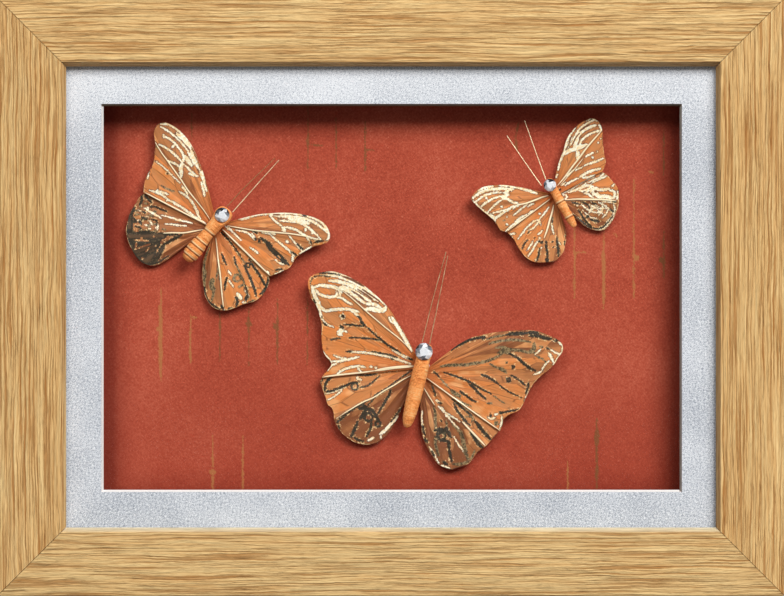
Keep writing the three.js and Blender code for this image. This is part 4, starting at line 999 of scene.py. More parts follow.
            (-31.5, 9), (-30.5, 6), (-30, 3), (-29.8, 0), (-28.6, -1.6), (-27.8, -2.5),
        ],
        "rib": [
            (0.42, -2.8, 2.6, -6, 3.4, -10, 4, -14, 4.8, -17, 5.9), (0.32, -3, 0.8, -14, -0.5, -27, -2),
        ],
        "gold": [
            (0.5, -29.6, 20.6, -27, 20.7, -24.6, 19.9, -22.6, 19.1),
            (0.6, -33.6, 19, -31, 19.3, -28, 19.3, -25, 18.6, -22.4, 17.4, -19.6, 16, -17.6, 14.6),
            (0.4, -33.6, 16.6, -31, 17.1, -28, 17.2, -25, 16.6, -22.4, 15.6, -20.6, 14.4),
            (0.6, -28.2, 16.4, -28, 15.6),
            (0.45, -32.4, 13.6, -30, 14.1, -27, 14.2, -24, 13.8, -21.6, 13.2),
            (0.4, -31, 9.8, -28, 10.8, -25, 11.4, -22, 11.6),
            (0.9, -21.6, 13, -20.6, 11.8, -19.6, 13.2, -18.4, 12.2),
            (0.55, -20.6, 11.8, -19.4, 9.6, -18.2, 7.6, -16.8, 6.6),
            (0.7, -19.6, 13.8, -16.8, 13.6, -15, 13.6), (0.45, -22, 17.4, -18.8, 15.6, -16.6, 14.4),
            (0.45, -20, 18, -17.4, 16.2, -15.4, 14.6, -13.4, 12.8), (0.4, -18.6, 17.4, -16.6, 15.8),
            (0.6, -13, 12.6, -11, 10.6, -9, 8.6, -6.8, 6), (0.6, -24.2, 8.8, -23.8, 8.9),
            (0.6, -31, 8.6, -29.6, 6.6, -29.8, 4.8), (0.55, -29.6, 5.6, -26.6, 6, -23, 6.2, -19, 6.4),
            (0.3, -30, 8.6, -27, 7.8, -24, 7, -22, 6.6),
            (0.35, -21.2, 2.7, -18, 3.3, -14.6, 3.8, -13, 3.9), (0.35, -13.8, 2.8, -12, 3, -10.2, 2.7),
            (0.45, -21.8, -0.1, -18, 0.1, -16, 0), (0.4, -15, -0.1, -12.4, 0.2),
            (0.4, -28, -2, -24.6, -1, -20, -0.9, -17.4, -0.9), (0.4, -26.3, 0.9, -25.8, 0.4),
            (0.4, -24.4, 3.7, -24.2, 3.6), (0.45, -20, 5.4, -18, 5.8, -16, 5.4),
            (0.3, -34, 18.4, -33, 14, -31.4, 9.4, -30.4, 6),
        ],
        "grey": [(0.3, -26.6, 3, -25.6, 2.8), (0.35, -26.4, 0.9, -26, 0.4)],
        "bare": [
            (0.35, -20.6, 13.6, -20.2, 13.4), (0.3, -17.4, 13.1, -16.8, 13),
            (0.25, -17, 15.4, -16.4, 14.8),
        ],
    },
    "small_hindwing_left": {
        "root": ((-1, 1.6), (-1, -3)), "crease": (0.5, 0.6), "tone": (0.8, 0.35),
        "edge": [
            (-26, -1.2), (-27.5, -2.8), (-27, -4.6), (-26.6, -8), (-26.8, -11), (-26.5, -14),
            (-25.8, -17), (-24.5, -19.5), (-22.5, -21.5), (-19.5, -23.2), (-16.5, -24.6),
            (-14.5, -24.9), (-12, -24.2), (-9.5, -23), (-7.5, -21), (-5.5, -18.5), (-4, -15.5),
            (-2.8, -12),
        ],
        "rib": [(0.45, -2.8, -2.4, -5, -4.8, -8, -7.6, -11, -10.6, -14.4, -13.4)],
        "gold": [
            (0.32, -27, -4, -24.6, -4.8), (0.5, -27, -5.8, -26.8, -5.6),
            (0.32, -24.8, -7.6, -22, -6.6, -19.4, -5.4, -17, -4.8, -14.6, -4.4, -12.4, -4.8),
            (0.3, -17.6, -5.2, -15, -4.4, -13, -4.6, -12.2, -5.4, -12.6, -7.4),
            (0.3, -18.4, -6.6, -17, -7, -14.6, -6.4, -12.6, -5.6),
            (0.3, -11.6, -4.8, -9, -3.8, -6.6, -2.8, -5, -2), (0.4, -10.6, -2.4, -10.2, -2.6),
            (0.3, -16, -10.6, -13, -10), (0.5, -16.4, -12.2, -15.8, -12.4),
            (0.3, -24, -14.3, -21, -13, -19.4, -12), (0.35, -25, -17, -22, -15.6, -19, -13.8, -17, -13),
            (0.3, -9.4, -14, -9, -12, -8, -9.4), (0.35, -9.4, -18.6, -9.2, -19.4),
            (0.3, -23, -20.4, -22.4, -20), (0.3, -17.8, -16.8, -17.4, -16.4),
        ],
        "black": [
            (0.4, -25.4, -12.4, -23.6, -11.2, -21.2, -10.2), (0.3, -19.6, -7.6, -18.6, -7.4),
            (0.3, -18.4, -11.2, -17.8, -11.2), (0.4, -22.6, -20.8, -20.6, -19, -18.6, -16.6),
            (0.6, -16.8, -14.6, -15.6, -14.4), (0.4, -17.2, -13.4, -16.8, -14),
            (0.5, -14.2, -15, -15.4, -17.6, -16.4, -20, -17.8, -22.6), (0.9, -17.6, -22, -18.6, -23.4),
            (0.5, -12, -16.6, -11.8, -16.8), (0.5, -12.8, -19, -12.6, -19.2),
            (0.5, -9, -16, -10.4, -19, -11.4, -21.4, -12.8, -24), (0.5, -6.6, -19.4, -7.6, -21),
            (0.3, -5.4, -17.6, -4.8, -17.4),
        ],
        "grey": [(0.35, -6, -7, -8, -9.6, -8.6, -12)],
    },
    "small_forewing_right": {
        "root": ((1, 4.4), (1, 0.8)), "crease": (0.55, 0.7), "tone": (0.5, 0.85),
        "edge": [
            (5, 9.3), (8, 12.5), (11, 15), (13.5, 17), (16, 19.5), (19, 21.8), (22, 23),
            (25, 23.8), (28, 24), (31, 23.7), (33, 22.5), (34.3, 20.3), (34.2, 18), (33.4, 15.8),
            (31.8, 12.5), (30.3, 9.5), (29, 6.5), (28.2, 4), (27.6, 2.5), (26, 1), (24.2, -0.2),
        ],
        "rib": [
            (0.42, 3, 4.4, 8, 6.2, 13, 8.4, 18, 10.4, 23, 12.6, 28, 14.4, 33, 16),
            (0.25, 4, 3.8, 9, 5.6, 14, 7.2, 20, 9.6),
        ],
        "gold": [
            (0.4, 4.4, 8, 5.6, 9), (0.4, 7, 10.6, 9, 12.6),
            (0.55, 8.4, 12.4, 10.6, 14.2, 13.2, 16.6, 15.8, 19, 18.6, 21, 21, 22.2),
            (0.4, 21.6, 22.4, 24, 23.2), (0.5, 14.6, 16.4, 17, 18.4, 20, 20.4),
            (0.45, 17.4, 17.4, 20, 19, 23, 21, 27, 22.2, 31, 22.4, 33, 22),
            (0.9, 12.6, 15.8, 15, 15.6, 17.6, 15.2, 19.4, 14.4),
            (0.8, 18.6, 16, 20.6, 17.6, 22.6, 19.4, 25.6, 20.4, 29, 20.4, 32, 19.6),
            (0.5, 21, 15.4, 24, 17.2, 27, 17.6, 30, 17.3, 32.4, 16.6),
            (0.9, 19.6, 15.4, 21, 14.4, 24, 14), (0.8, 18.8, 13.8, 18.4, 12.2, 17.2, 10.8),
            (0.5, 33.4, 19, 33.6, 17, 32.6, 16), (0.3, 29.4, 23.4, 32.4, 22.8, 33.6, 21),
            (0.35, 20.6, 9.6, 23, 9.4, 25, 9.3), (0.35, 26.4, 8.8, 26.8, 8.8),
            (0.5, 23.4, 7.8, 23.6, 7.2), (0.3, 9, 6.2, 13.6, 7),
            (0.4, 18, 6.2, 22, 5.6, 25, 5, 27.6, 4.7), (0.35, 14, 6.4, 17.4, 6.1), (0.3, 5, 3.6, 7, 3.8),
            (0.4, 6.4, 2.8, 9.6, 3, 13, 2.6), (0.55, 13.8, 2.6, 17, 2.8, 20, 2.4, 24, 1.4),
            (0.5, 15, 1.8, 17, 0.8, 20.4, -0.2), (0.35, 31, 13.2, 31.2, 13), (0.35, 29, 12.2, 29.2, 12.1),
        ],
        "black": [(0.3, 31, 23, 32, 22.8), (0.35, 2.8, 2.2, 3.4, 2.4)],
        "bare": [
            (0.22, 14.6, 16.6, 17, 18.2, 20, 20.8, 22, 21.2),
            (0.22, 17, 16.4, 19.4, 18, 22, 19.6, 24, 20.2), (0.7, 23, 18, 26, 18.8, 29, 18.6, 31.6, 18),
            (0.6, 23, 15.2, 26, 15.9, 29, 15.4), (0.35, 24.6, 21, 28, 21.4, 32, 21),
            (0.25, 22.4, 22.4, 26, 23.2, 30, 23), (0.35, 20.4, 12.8, 22, 12.9),
            (0.25, 21.4, 13.2, 25, 13.2),
        ],
    },
    "small_hindwing_right": {
        "root": ((1, 1.6), (1, -3)), "crease": (0.4, 0.6), "tone": (0.7, 0.05),
        "edge": [
            (22.5, 1), (24, -0.4), (25, -2), (25.6, -4), (26, -6.5), (26.5, -9), (26.4, -11.3),
            (25.2, -13.5), (24, -15.8), (22.3, -18), (20, -20), (17.5, -22), (14.5, -23.3),
            (11.5, -23.8), (9, -22.7), (6.5, -20.5), (4.5, -17.5), (3.2, -14),
        ],
        "rib": [(0.45, 3, -3, 8, -5.6, 13, -8.6, 18, -11.6, 23, -15.2)],
        "gold": [
            (0.3, 3, 0.2, 8, -0.2, 14, 0.2, 20, -0.6), (0.5, 3, -0.8, 3.6, -0.8),
            (0.4, 4.6, -1, 4.2, -2.4), (0.4, 3, -2.8, 3.8, -2.6),
            (0.4, 6, -0.8, 9, -1.4, 12, -1.6, 15, -1.2), (0.3, 16, -1.4, 20, -1.8, 25, -3),
            (0.3, 17, -2.4, 21, -2.6, 24.6, -3.2), (0.5, 22.4, -1.8, 24.4, -1.4),
            (0.5, 10.6, -2.2, 12, -3.8, 13.4, -6, 14.6, -8.6), (0.5, 12, -2, 14.4, -2.2, 16, -3, 17, -4),
            (0.4, 12, -3.6, 14.6, -4, 16.6, -3.6), (0.5, 13, -4.6, 15.4, -5.4, 17.4, -5, 19, -6.6),
            (0.9, 15, -7.6, 16.4, -6.8, 17, -9, 18.4, -10.6), (0.6, 17, -5.6, 20, -7.6, 23, -8.8),
            (0.8, 18.6, -10, 20.6, -11.6, 22, -13.2), (0.5, 22.6, -9.4, 24, -10.4, 24, -12, 22.6, -13.6),
            (0.4, 24.6, -8.6, 26, -8), (0.5, 26, -11.6, 25, -13.4, 23.6, -14.6),
            (0.12, 10.2, -9.4, 12.6, -12, 14, -15.6, 15.4, -18.8), (0.12, 12.6, -9.6, 14.6, -13),
            (0.35, 9.4, -13.6, 11.6, -12.2), (0.3, 15.6, -11.6, 17.6, -15, 19, -18.6),
            (0.3, 17, -12.2, 20, -14, 21.6, -15.6), (0.3, 21, -16, 20.4, -18.4, 17.6, -20.4, 14, -21.6),
            (0.35, 6, -8, 6.8, -8), (0.3, 7.6, -22, 11, -23, 15, -22.4, 18.6, -20.8),
            (0.25, 4, -13, 5, -16.4, 6.6, -19.6), (0.3, 8.4, -8.6, 9.6, -12, 12, -15, 15, -16.4),
            (0.3, 11.4, -10.4, 14, -14, 17.4, -16), (0.25, 7.4, -11, 9, -15.6, 11.4, -18),
            (0.3, 12.6, -17, 15.4, -15.4, 17, -13), (0.25, 10, -13.6, 12.6, -13, 15, -13.6),
            (0.25, 13.4, -18.6, 16, -18, 18.4, -16.4),
        ],
        "black": [
            (0.4, 5, -5.4, 6.6, -7, 7.6, -8), (0.35, 9, -7.4, 10.4, -9.4, 11, -12),
            (0.4, 6, -10, 6, -14, 6.4, -17, 7.4, -20), (0.6, 7.4, -15, 8.6, -14.8),
            (0.45, 8.4, -16.6, 10, -18.2, 11.6, -19.4),
            (0.3, 3, -11, 4.6, -15.4, 6, -18.8, 8.4, -21.4, 11.6, -22.6, 15, -21.8, 18.4, -20),
            (0.4, 13, -10.4, 14.4, -12), (0.3, 18.4, -17, 19.6, -19), (0.4, 21.6, -14.8, 23, -15.6),
        ],
        "bare": [
            (0.6, 16.8, -6.4, 17.2, -7), (0.35, 13.6, -3, 14.4, -3.1), (0.3, 12, -4.2, 12.8, -4.3),
            (0.3, 14, -5.4, 14.6, -5.4), (0.4, 19, -9, 21.6, -10.4, 22.6, -11.6),
        ],
    },
}

wingLook = {
    "cell": 0.45,
    "outlineSteps": 200,
    "backRows": 8,
    "roofHalf": 0.34,
    "waves": 6,
    "waveHeight": 0.28,
    "reliefEase": (0.8, 0.8),
    "foldReach": 40,
    "ribRise": 0.36,
    "ribEase": (0.45, -0.35),
    "foldEase": (-0.4, 0.4),
    "inner": (0.5, 0.08),
    "swell": 0.12,  # dark foil spreads a little past its drawn line
    "goldSwell": 0.06,
    # sizes of noises: round the margin and out from the root, and then in metres
    "pleat": (3.4, 40, 1),
    "barb": (0.9, 12, 1),
    "panel": (6.5, 17, 1),
    "panelTurn": (0, 0, 0.12),
    "patch": 0.007,
    "ragged": 0.0009,
    "speck": 0.0011,
    "broken": 0.0006,
    "jagged": 0.0007,
    # dull paper, and the painted shade of the hindwings' lower halves
    "dull": (130, 73, 37),
    "tan": (200, 129, 74),
    "vivid": (224, 133, 64),
    "deep": (196, 106, 46),
    "fold": (116, 62, 30),
    "sheen": (241, 182, 122),
    "gold": (255, 250, 224),
    "goldShade": (246, 210, 150),
    "outline": (92, 48, 22),
    "grey": (156, 132, 92),
    "greyShade": (72, 60, 40),
    "black": (44, 36, 22),
    "blackShade": (104, 90, 62),
    "smoke": (92, 66, 42),
    "rib": (255, 238, 196),
}


def onBoard(insect, u, v, height):
    # from the butterfly's own plane to the frame: turned by its lean about y, set on the board
    turn = math.radians(insect["lean"])
    x0, z0 = insect["centre"]
    x = x0 + u * math.cos(turn) + v * math.sin(turn)
    z = z0 - u * math.sin(turn) + v * math.cos(turn)
    return np.stack([x, perch["board"] - height, z], -1)


def wingMaterial():
    p = Paint("wing_paper")
    look = wingLook
    here = p.place()
    fan = p.map("fan")  # round the margin, out from the root
    patch = p.noise(here, look["patch"], 2)
    pleat = p.noise(fan, look["pleat"], 2, (0, 0, 5))
    barb = p.noise(fan, look["barb"], 2, (0, 0, -14))
    panel = {"Vector": p.laid(fan, look["panel"], look["panelTurn"]), "Scale": 1.0}
    flat = {"voronoi_dimensions": "2D"}
    facet = p.node("ShaderNodeTexVoronoi", flat, panel, "Color")
    facet = p.node("ShaderNodeSeparateColor", None, [facet], "Red")
    seam = p.node("ShaderNodeTexVoronoi", {**flat, "feature": "DISTANCE_TO_EDGE"}, panel, "Distance")
    # the paper's warmth, with painted shade where the tone mark is low
    warmthAndShade = p.mark("tone") + (patch - 0.5) * 0.6 + (pleat - 0.5) * 0.5 + (facet - 0.5) * 0.8
    paper = p.ramp(warmthAndShade, (0.0, look["dull"]), (0.5, look["tan"]), (1.0, look["vivid"]))
    paper = p.mix(p.mark("inner") * p.mark("tone"), paper, look["deep"])
    # painted shade in the fine radial creases
    paper = p.mix(barb.ease(0.58, 0.74) * 0.35, paper, look["fold"])
    paper = p.mix(facet.ease(0.6, 1.0) * patch.ease(0.45, 0.65) * 0.6, paper, look["sheen"])
    # painted shade along the seams between the crumpled facets
    paper = p.mix(seam.ease(0.05, 0.0) * pleat.ease(0.4, 0.55) * 0.75, paper, look["fold"])
    ragged = (p.noise(here, look["ragged"], 3, rough=0.65) - 0.5) * 1.3
    speck = p.noise(here, look["speck"], 3, rough=0.7)
    broken = (p.noise(here, look["broken"], 3, rough=0.7) - 0.5) * 2.2
    jagged = (p.noise(here, look["jagged"], 4, rough=0.75) - 0.5) * 2.0
    kept = 1 - (p.mark("bare") + ragged * 0.4).ease(0.2, 0.0)
    greyGap = p.mark("grey") + broken - look["swell"]
    goldGap = p.mark("gold") + jagged - look["goldSwell"]
    blackGap = p.mark("black") + broken - look["swell"]
    grey, gold, black = (gap.ease(0.1, -0.1) * kept for gap in (greyGap, goldGap, blackGap))
    rib = (p.mark("rib") + ragged * 0.15).ease(0.02, -0.16)
    rim = (p.mark("rim") + ragged * 0.9).ease(0.3, 0.1)
    colour = p.mix(goldGap.ease(0.46, 0.14) * 0.85, paper, look["outline"])
    # painted shade along both sides of each raised rib
    colour = p.mix(p.mark("rib").ease(0.75, 0.1) * 0.45, colour, look["outline"])
    colour = p.mix(grey, colour, p.mix(speck.ease(0.42, 0.62), look["greyShade"], look["grey"]))
    colour = p.mix(gold, colour, p.mix(speck.ease(0.36, 0.6), look["goldShade"], look["gold"]))
    fleck = blackGap.ease(0.75, 0.3) * speck.ease(0.53, 0.6)  # foil left along the black
    colour = p.mix(fleck, colour, look["goldShade"])
    ink = p.mix(speck.ease(0.54, 0.7), look["black"], look["blackShade"])
    smoky = p.mark("black").ease(-0.5, -1.3) * pleat.ease(0.42, 0.56)  # broad black thins between pleats
    colour = p.mix(black, colour, p.mix(smoky * 0.85, ink, look["smoke"]))
    colour = p.mix(rib, colour, look["rib"])
    colour = p.mix(rim * patch.ease(0.5, 0.56) * speck.ease(0.4, 0.52), colour, look["goldShade"])
    colour = p.mix(rim * patch.ease(0.5, 0.44) * 0.85, colour, look["black"])
    foil = gold * 0.6 + grey * 0.6
    height = barb * 0.08 + pleat * 0.3 + foil * 0.06 + black * 0.04 + speck * 0.03
    return p.surface(
        Base_Color=colour,
        Metallic=grey * 0.2,
        Roughness=0.62 - foil * 0.3,
        Normal=p.bump(height),
        Specular_IOR_Level=0.3,
    )


def ringStroke(halfWidth, u, v, radius):  # a circle as a stroke
    turn = np.linspace(0, 2 * math.pi, 15)
    return (halfWidth, *np.stack([u + radius * np.cos(turn), v + radius * np.sin(turn)], -1).ravel())


def wingRelief(wing, along, out):
    # a roof along the main fold, highest on the fold and straight down to both sides, and soft pleats;
    # both die out at the root and ease off towards the margin
    place, rise = wing["crease"]
    half = min(wingLook["roofHalf"], place, 1 - place)
    roof = rise * np.maximum(0, 1 - np.abs(along - place) / half)
    wave = wingLook["waveHeight"] * np.sin(wingLook["waves"] * math.pi * along) ** 2
    share, power = wingLook["reliefEase"]
    return (roof + wave) * np.sin(math.pi * np.minimum(1, share * out)) ** power


def aboveFold(points, fold):
    # signed distance from the fold line, carried on far past its ends, positive on the head's side of it
    line = np.array(fold, float).reshape(-1, 2)
    far = wingLook["foldReach"]
    first, last = line[0] + far * (line[0] - line[1]), line[-1] + far * (line[-1] - line[-2])
    line = np.concatenate([[first], line, [last]])
    start, span = line[:-1], np.diff(line, axis=0)
    away = points[:, None] - start
    part = np.clip((away * span).sum(2) / (span**2).sum(1), 0, 1)
    offset = away - part[..., None] * span
    distance = np.linalg.norm(offset, axis=2)
    nearest = distance.argmin(1)
    pick = np.arange(len(points))
    return distance[pick, nearest] * np.sign(offset[pick, nearest, 1])


def addWing(name, material):
    # A fan: straight rays from the root line to a smooth outline at equal steps. The front follows the
    # relief and carries raised ribs; the back is the same sheet one thickness behind.
    wing, insect, look = wings[name], butterflies[name.split("_")[0]], wingLook
    top = perch["foreTop"] if "forewing" in name else perch["hindTop"]
    lead, trail = np.array(wing["root"], float)
    outline = spacedLine(wing["edge"], look["outlineSteps"])
    length = np.linalg.norm(np.diff(outline, axis=0), axis=1).sum()
    reach = np.linalg.norm(outline - lead, axis=1).max()
    columns, rows, backRows = int(length / look["cell"]), int(reach / look["cell"]), look["backRows"]

    def sheet(count):  # places in the butterfly's plane, heights above the board, places on the fan map
        along = np.linspace(0, 1, columns)[:, None]
        out = np.linspace(0, 1, count)[None]
        root = lead + (trail - lead) * along
        edge = spacedLine(wing["edge"], columns)
        flat = root[:, None] + (edge - root)[:, None] * out[..., None]
        height = top + perch["rise"] * np.abs(flat[..., 0]) + wingRelief(wing, along, out)
        ray = np.linalg.norm(flat - root[:, None], axis=2)
        fan = np.stack([np.broadcast_to(along * length, ray.shape), ray], -1)
        return flat.reshape(-1, 2), height.ravel(), fan.reshape(-1, 2)

    flat, height, fan = sheet(rows)
    backFlat, backHeight, backFan = sheet(backRows)
    strokes = {kind: list(wing.get(kind, [])) for kind in ("gold", "grey", "black", "bare", "rib")}
    strokes["black"] += [ringStroke(*eye) for eye in wing.get("eyes", [])]
    strokes["grey"] += [ringStroke(*eye) for eye in wing.get("greyEyes", [])]
    marks = {kind: strokeGap(flat, drawn) for kind, drawn in strokes.items()}
    height = height + look["ribRise"] * smooth(marks["rib"], *look["ribEase"])
    fold = wing.get("fold", wing["rib"][0][1:])
    upper, lower = wing["tone"]
    marks["tone"] = lower + (upper - lower) * smooth(aboveFold(flat, fold), *look["foldEase"])
    marks["inner"] = smooth(fan[:, 1] / reach, *look["inner"])
    span = fan[:, 1].reshape(columns, rows)
    marks["rim"] = (span[:, -1:] - span).ravel()
    behind = {"tone": 0.5, "inner": 0.0}
    for kind, values in marks.items():
        marks[kind] = np.append(values, np.full(len(backFlat), behind.get(kind, farGap)))

    front = onBoard(insect, *flat.T, height)
    back = onBoard(insect, *backFlat.T, backHeight - perch["thick"])
    f = np.arange(columns * rows).reshape(columns, rows)
    b = len(flat) + np.arange(columns * backRows).reshape(columns, backRows)
    faces = [
        gridQuads(columns, rows),
        gridQuads(columns, backRows, len(flat))[:, ::-1],
        np.stack([f[1:, -1], f[:-1, -1], b[:-1, -1], b[1:, -1]], -1),
        np.stack([f[:-1, 0], f[1:, 0], b[1:, 0], b[:-1, 0]], -1),
        [[*f[0, ::-1], *b[0]]],
        [[*f[-1], *b[-1, ::-1]]],
    ]
    points, uv = np.concatenate([front, back]), np.concatenate([fan, backFan])
    addPiece(f"{name}_paper", points, faces, material, [name], ("fan", uv), marks, sharp=60)


wingPaint = wingMaterial()
for wingName in wings:
    addWing(wingName, wingPaint)
print("wings done")

wrapLook = {
    "around": 64,
    "steps": 190,
    "least": 0.02,  # the radius at both ends
    "crinkled": (0.2, 1.2),  # the radius from which it crinkles, and crinkles fully
    "flatEase": (-0.5, 0.1),
    "flatClear": 4,
    "grooveWidth": 0.32,
    "grooveDepth": 0.16,  # as a share of the radius
    "highlightAt": 0.7,
    "highlightWidth": 0.3,
    "crease": (2.2, 0.7, 1),
    "fibre": 0.0006,
    "patch": 0.005,
    "base": (252, 160, 87),
    "light": (255, 204, 138),
    "dark": (196, 102, 44),
    # painted shade in the grooves, and a painted highlight on the ridge beside each
    "groove": (126, 58, 22),
    "thread": (255, 226, 172),
}


def wrapMaterial():
    p = Paint("body_wrap")
    wrap = p.map("wrap")  # round the body, along it
    crease = p.noise(wrap, wrapLook["crease"], 3, (0, 0, 18), 0.6)
    fibre = p.noise(p.place(), wrapLook["fibre"], 2)
    patch = p.noise(p.place(), wrapLook["patch"], 2)
    tone = crease * 0.7 + fibre * 0.35 + patch * 0.5 - 0.275
    colour = p.ramp(tone, (0.28, wrapLook["dark"]), (0.5, wrapLook["base"]), (0.72, wrapLook["light"]))
    # painted shade in the grooves, then a painted highlight beside each
    colour = p.mix(p.mark("groove") * 0.75, colour, wrapLook["groove"])
    colour = p.mix(p.mark("thread") * 0.9, colour, wrapLook["thread"])
    height = crease * 0.3 + fibre * 0.08
    return p.surface(Base_Color=colour, Roughness=0.8, Normal=p.bump(height), Specular_IOR_Level=0.25)


def axisHeight(insect):  # of the middle of the body, above the board
    return perch["clearance"] + max(radius for radius, _ in insect["body"])


def addBody(name, insect, material):
    # A spindle: the radius follows a smooth profile along the body, with narrow grooves at the rings and
    # slow crinkles round it; the head is cut flat where the stone sits. The grooves are painted darker as
    # shade, with a painted highlight beside each.
    look = wrapLook
    radius, v = spacedLine(insect["body"], look["steps"]).T[..., None]
    radius = np.maximum(radius, look["least"])
    groove, thread = np.zeros_like(v), np.zeros_like(v)
    for place in insect["rings"]:
        groove = np.maximum(groove, np.exp(-(((v - place) / look["grooveWidth"]) ** 2)))
        thread = np.maximum(thread, np.exp(-(((v - place - look["highlightAt"]) / look["highlightWidth"]) ** 2)))
    angle = ringAngles(look["around"])
    crinkle = np.sin(5 * angle + 0.9 * v) * np.sin(2.1 * v + 2 * angle)
    crinkle = crinkle + 0.7 * np.sin(3.3 * v - 3 * angle + 1)
    depth = insect["crinkle"] * smooth(radius, *look["crinkled"]) * (0.6 + 0.4 * crinkle)
    spread = radius * (1 - look["grooveDepth"] * groove) - depth
    u = insect["axis"] + spread * np.sin(angle)
    start, above = insect["seat"]
    before, after = look["flatEase"]
    limit = above + look["flatClear"] * (1 - smooth(v, start + before, start + after))
    height = axisHeight(insect) + np.minimum(spread * np.cos(angle), limit)
    v, groove, thread = (np.broadcast_to(a, u.shape) for a in (v, groove, thread))
    points = onBoard(insect, u, v, height).reshape(-1, 3)
    faces = tubeFaces(*u.shape)
    uv = np.stack([3 * np.sin(angle) * np.ones_like(v) + 3 * np.abs(angle - math.pi), v], -1).reshape(-1, 2)
    marks = {"groove": groove, "thread": thread}
    nodes = [f"{name}_body"]
    title = f"{name}_wrapped_body"
    addPiece(title, points, faces, material, nodes, ("wrap", uv), marks, sharp=35)


wrapPaint = wrapMaterial()
for bodyName, insect in butterflies.items():
    addBody(bodyName, insect, wrapPaint)
print("bodies done")

# the facets' tones are painted reflection and shade
gemLook = {
    "table": (0.5, 0.55),  # radius and height, as shares of the stone's radius
    "star": (0.74, 0.46),
    "girdle": 0.14,
    "foot": 0.25,
    "footRadius": 0.86,
    "lift": 0.3,
    "tone": 0.68,
    "sideTone": 0.15,
    "spark": (0.4, 2.4),  # how far, and how fast from facet to facet, the tone jumps
    "tableTone": 0.82,
    "rimTone": -0.25,
    "footTone": (0.2, -0.1),
    "haze": 0.0009,
    "white": (250, 251, 253),
    "mid": (128, 134, 144),
    "ink": (44, 46, 50),
}


def gemMaterial():
    p = Paint("crystal")
    haze = p.noise(p.place(), gemLook["haze"], 2)
    tone = p.mark("facet") + (haze - 0.5) * 0.25
    colour = p.ramp(tone, (0.05, gemLook["ink"]), (0.45, gemLook["mid"]), (0.9, gemLook["white"]))
    return p.surface(Base_Color=colour, Roughness=0.12 + haze * 0.05, Specular_IOR_Level=0.5)


def addGem(name, insect, material):
    # A flat-backed brilliant: an eight-sided table, eight stars and eight kites below it, sixteen facets
    # down to the girdle, the girdle and a short foot. Rings of points share one axis; each facet keeps its
    # own tone, which is painted reflection and shade.
    u0, v0, radius = insect["gem"]
    seat = axisHeight(insect) + insect["seat"][1] + gemLook["lift"]
    eight, sixteen = np.arange(8) * math.pi / 4, np.arange(16) * math.pi / 8
    rings = [
        (eight, *gemLook["table"]),
        (eight + math.pi / 8, *gemLook["star"]),
        (sixteen, 1.0, gemLook["girdle"]),
        (sixteen, 1.0, 0.0),
        (sixteen, gemLook["footRadius"], -gemLook["foot"] / radius),
    ]
    flat = np.concatenate([
        np.stack([r * np.cos(a), r * np.sin(a), np.full(len(a), h)], -1) * radius for a, r, h in rings
    ])
    i, k = np.arange(8), np.arange(16)
    after, before = (i + 1) % 8, (i - 1) % 8
    star, girdle, band, foot = 8, 16, 32, 48  # the first point of each ring after the table
    left, middle, right = girdle + 2 * i, girdle + 2 * i + 1, girdle + (2 * i + 2) % 16
    beside = (k + 1) % 16
    faces = [
        [i],
        np.stack([i, star + i, after], -1),
        np.stack([i, star + before, left, star + i], -1),
        np.stack([star + i, left, middle], -1),
        np.stack([star + i, middle, right], -1),
        np.stack([girdle + k, band + k, band + beside, girdle + beside], -1),
        np.stack([band + k, foot + k, foot + beside, band + beside], -1),
        [foot + k],
    ]
    points = onBoard(insect, u0 + flat[:, 0], v0 + flat[:, 1], seat + flat[:, 2])
    stone = addPiece(f"{name}_stone", points, faces, material, [f"{name}_gem"], sharp=None)
    mesh = stone.data
    centres = np.empty(len(mesh.polygons) * 3)
    mesh.polygons.foreach_get("center", centres)
    across, up = ((centres.reshape(-1, 3) / mm - onBoard(insect, u0, v0, seat)) / radius).T[[0, 2]]
    jump, pace = gemLook["spark"]
    # painted reflection and shade: darker towards the top, brighter to one side, jumping from facet to facet
    tone = gemLook["tone"] - insect["fire"] * up + gemLook["sideTone"] * across
    tone = tone + jump * np.sin(np.arange(len(up)) * pace)
    tone[0] = gemLook["tableTone"]
    tone[17:33] += gemLook["rimTone"]  # the facets above the girdle
    low, fade = gemLook["footTone"]
    tone[33:] = low + fade * up[33:]
    field = mesh.attributes.new("facet", "FLOAT", "FACE")
    field.data.foreach_set("value", np.clip(tone, 0, 1).astype(np.float32))


gemPaint = gemMaterial()
for gemName, insect in butterflies.items():
    addGem(gemName, insect, gemPaint)
print("stones done")

wireLook = {
    "radius": 0.25,
    "tip": 0.18,
    "drop": 2.0,
    "steps": 40,
    "around": 10,
    "tarnishAndLight": 0.004,
    "pale": (240, 220, 178),
    "dark": (150, 98, 56),
}


def wireMaterial():
    p = Paint("wire")
    # random tarnish, plus each antenna's painted light
    tarnishAndLight = p.noise(p.place(), wireLook["tarnishAndLight"], 3) * 0.4 + 0.3 + p.mark("polish")
    colour = p.ramp(tarnishAndLight, (0.32, wireLook["dark"]), (0.62, wireLook["pale"]))
    return p.surface(Base_Color=colour, Metallic=0.3, Roughness=0.42)


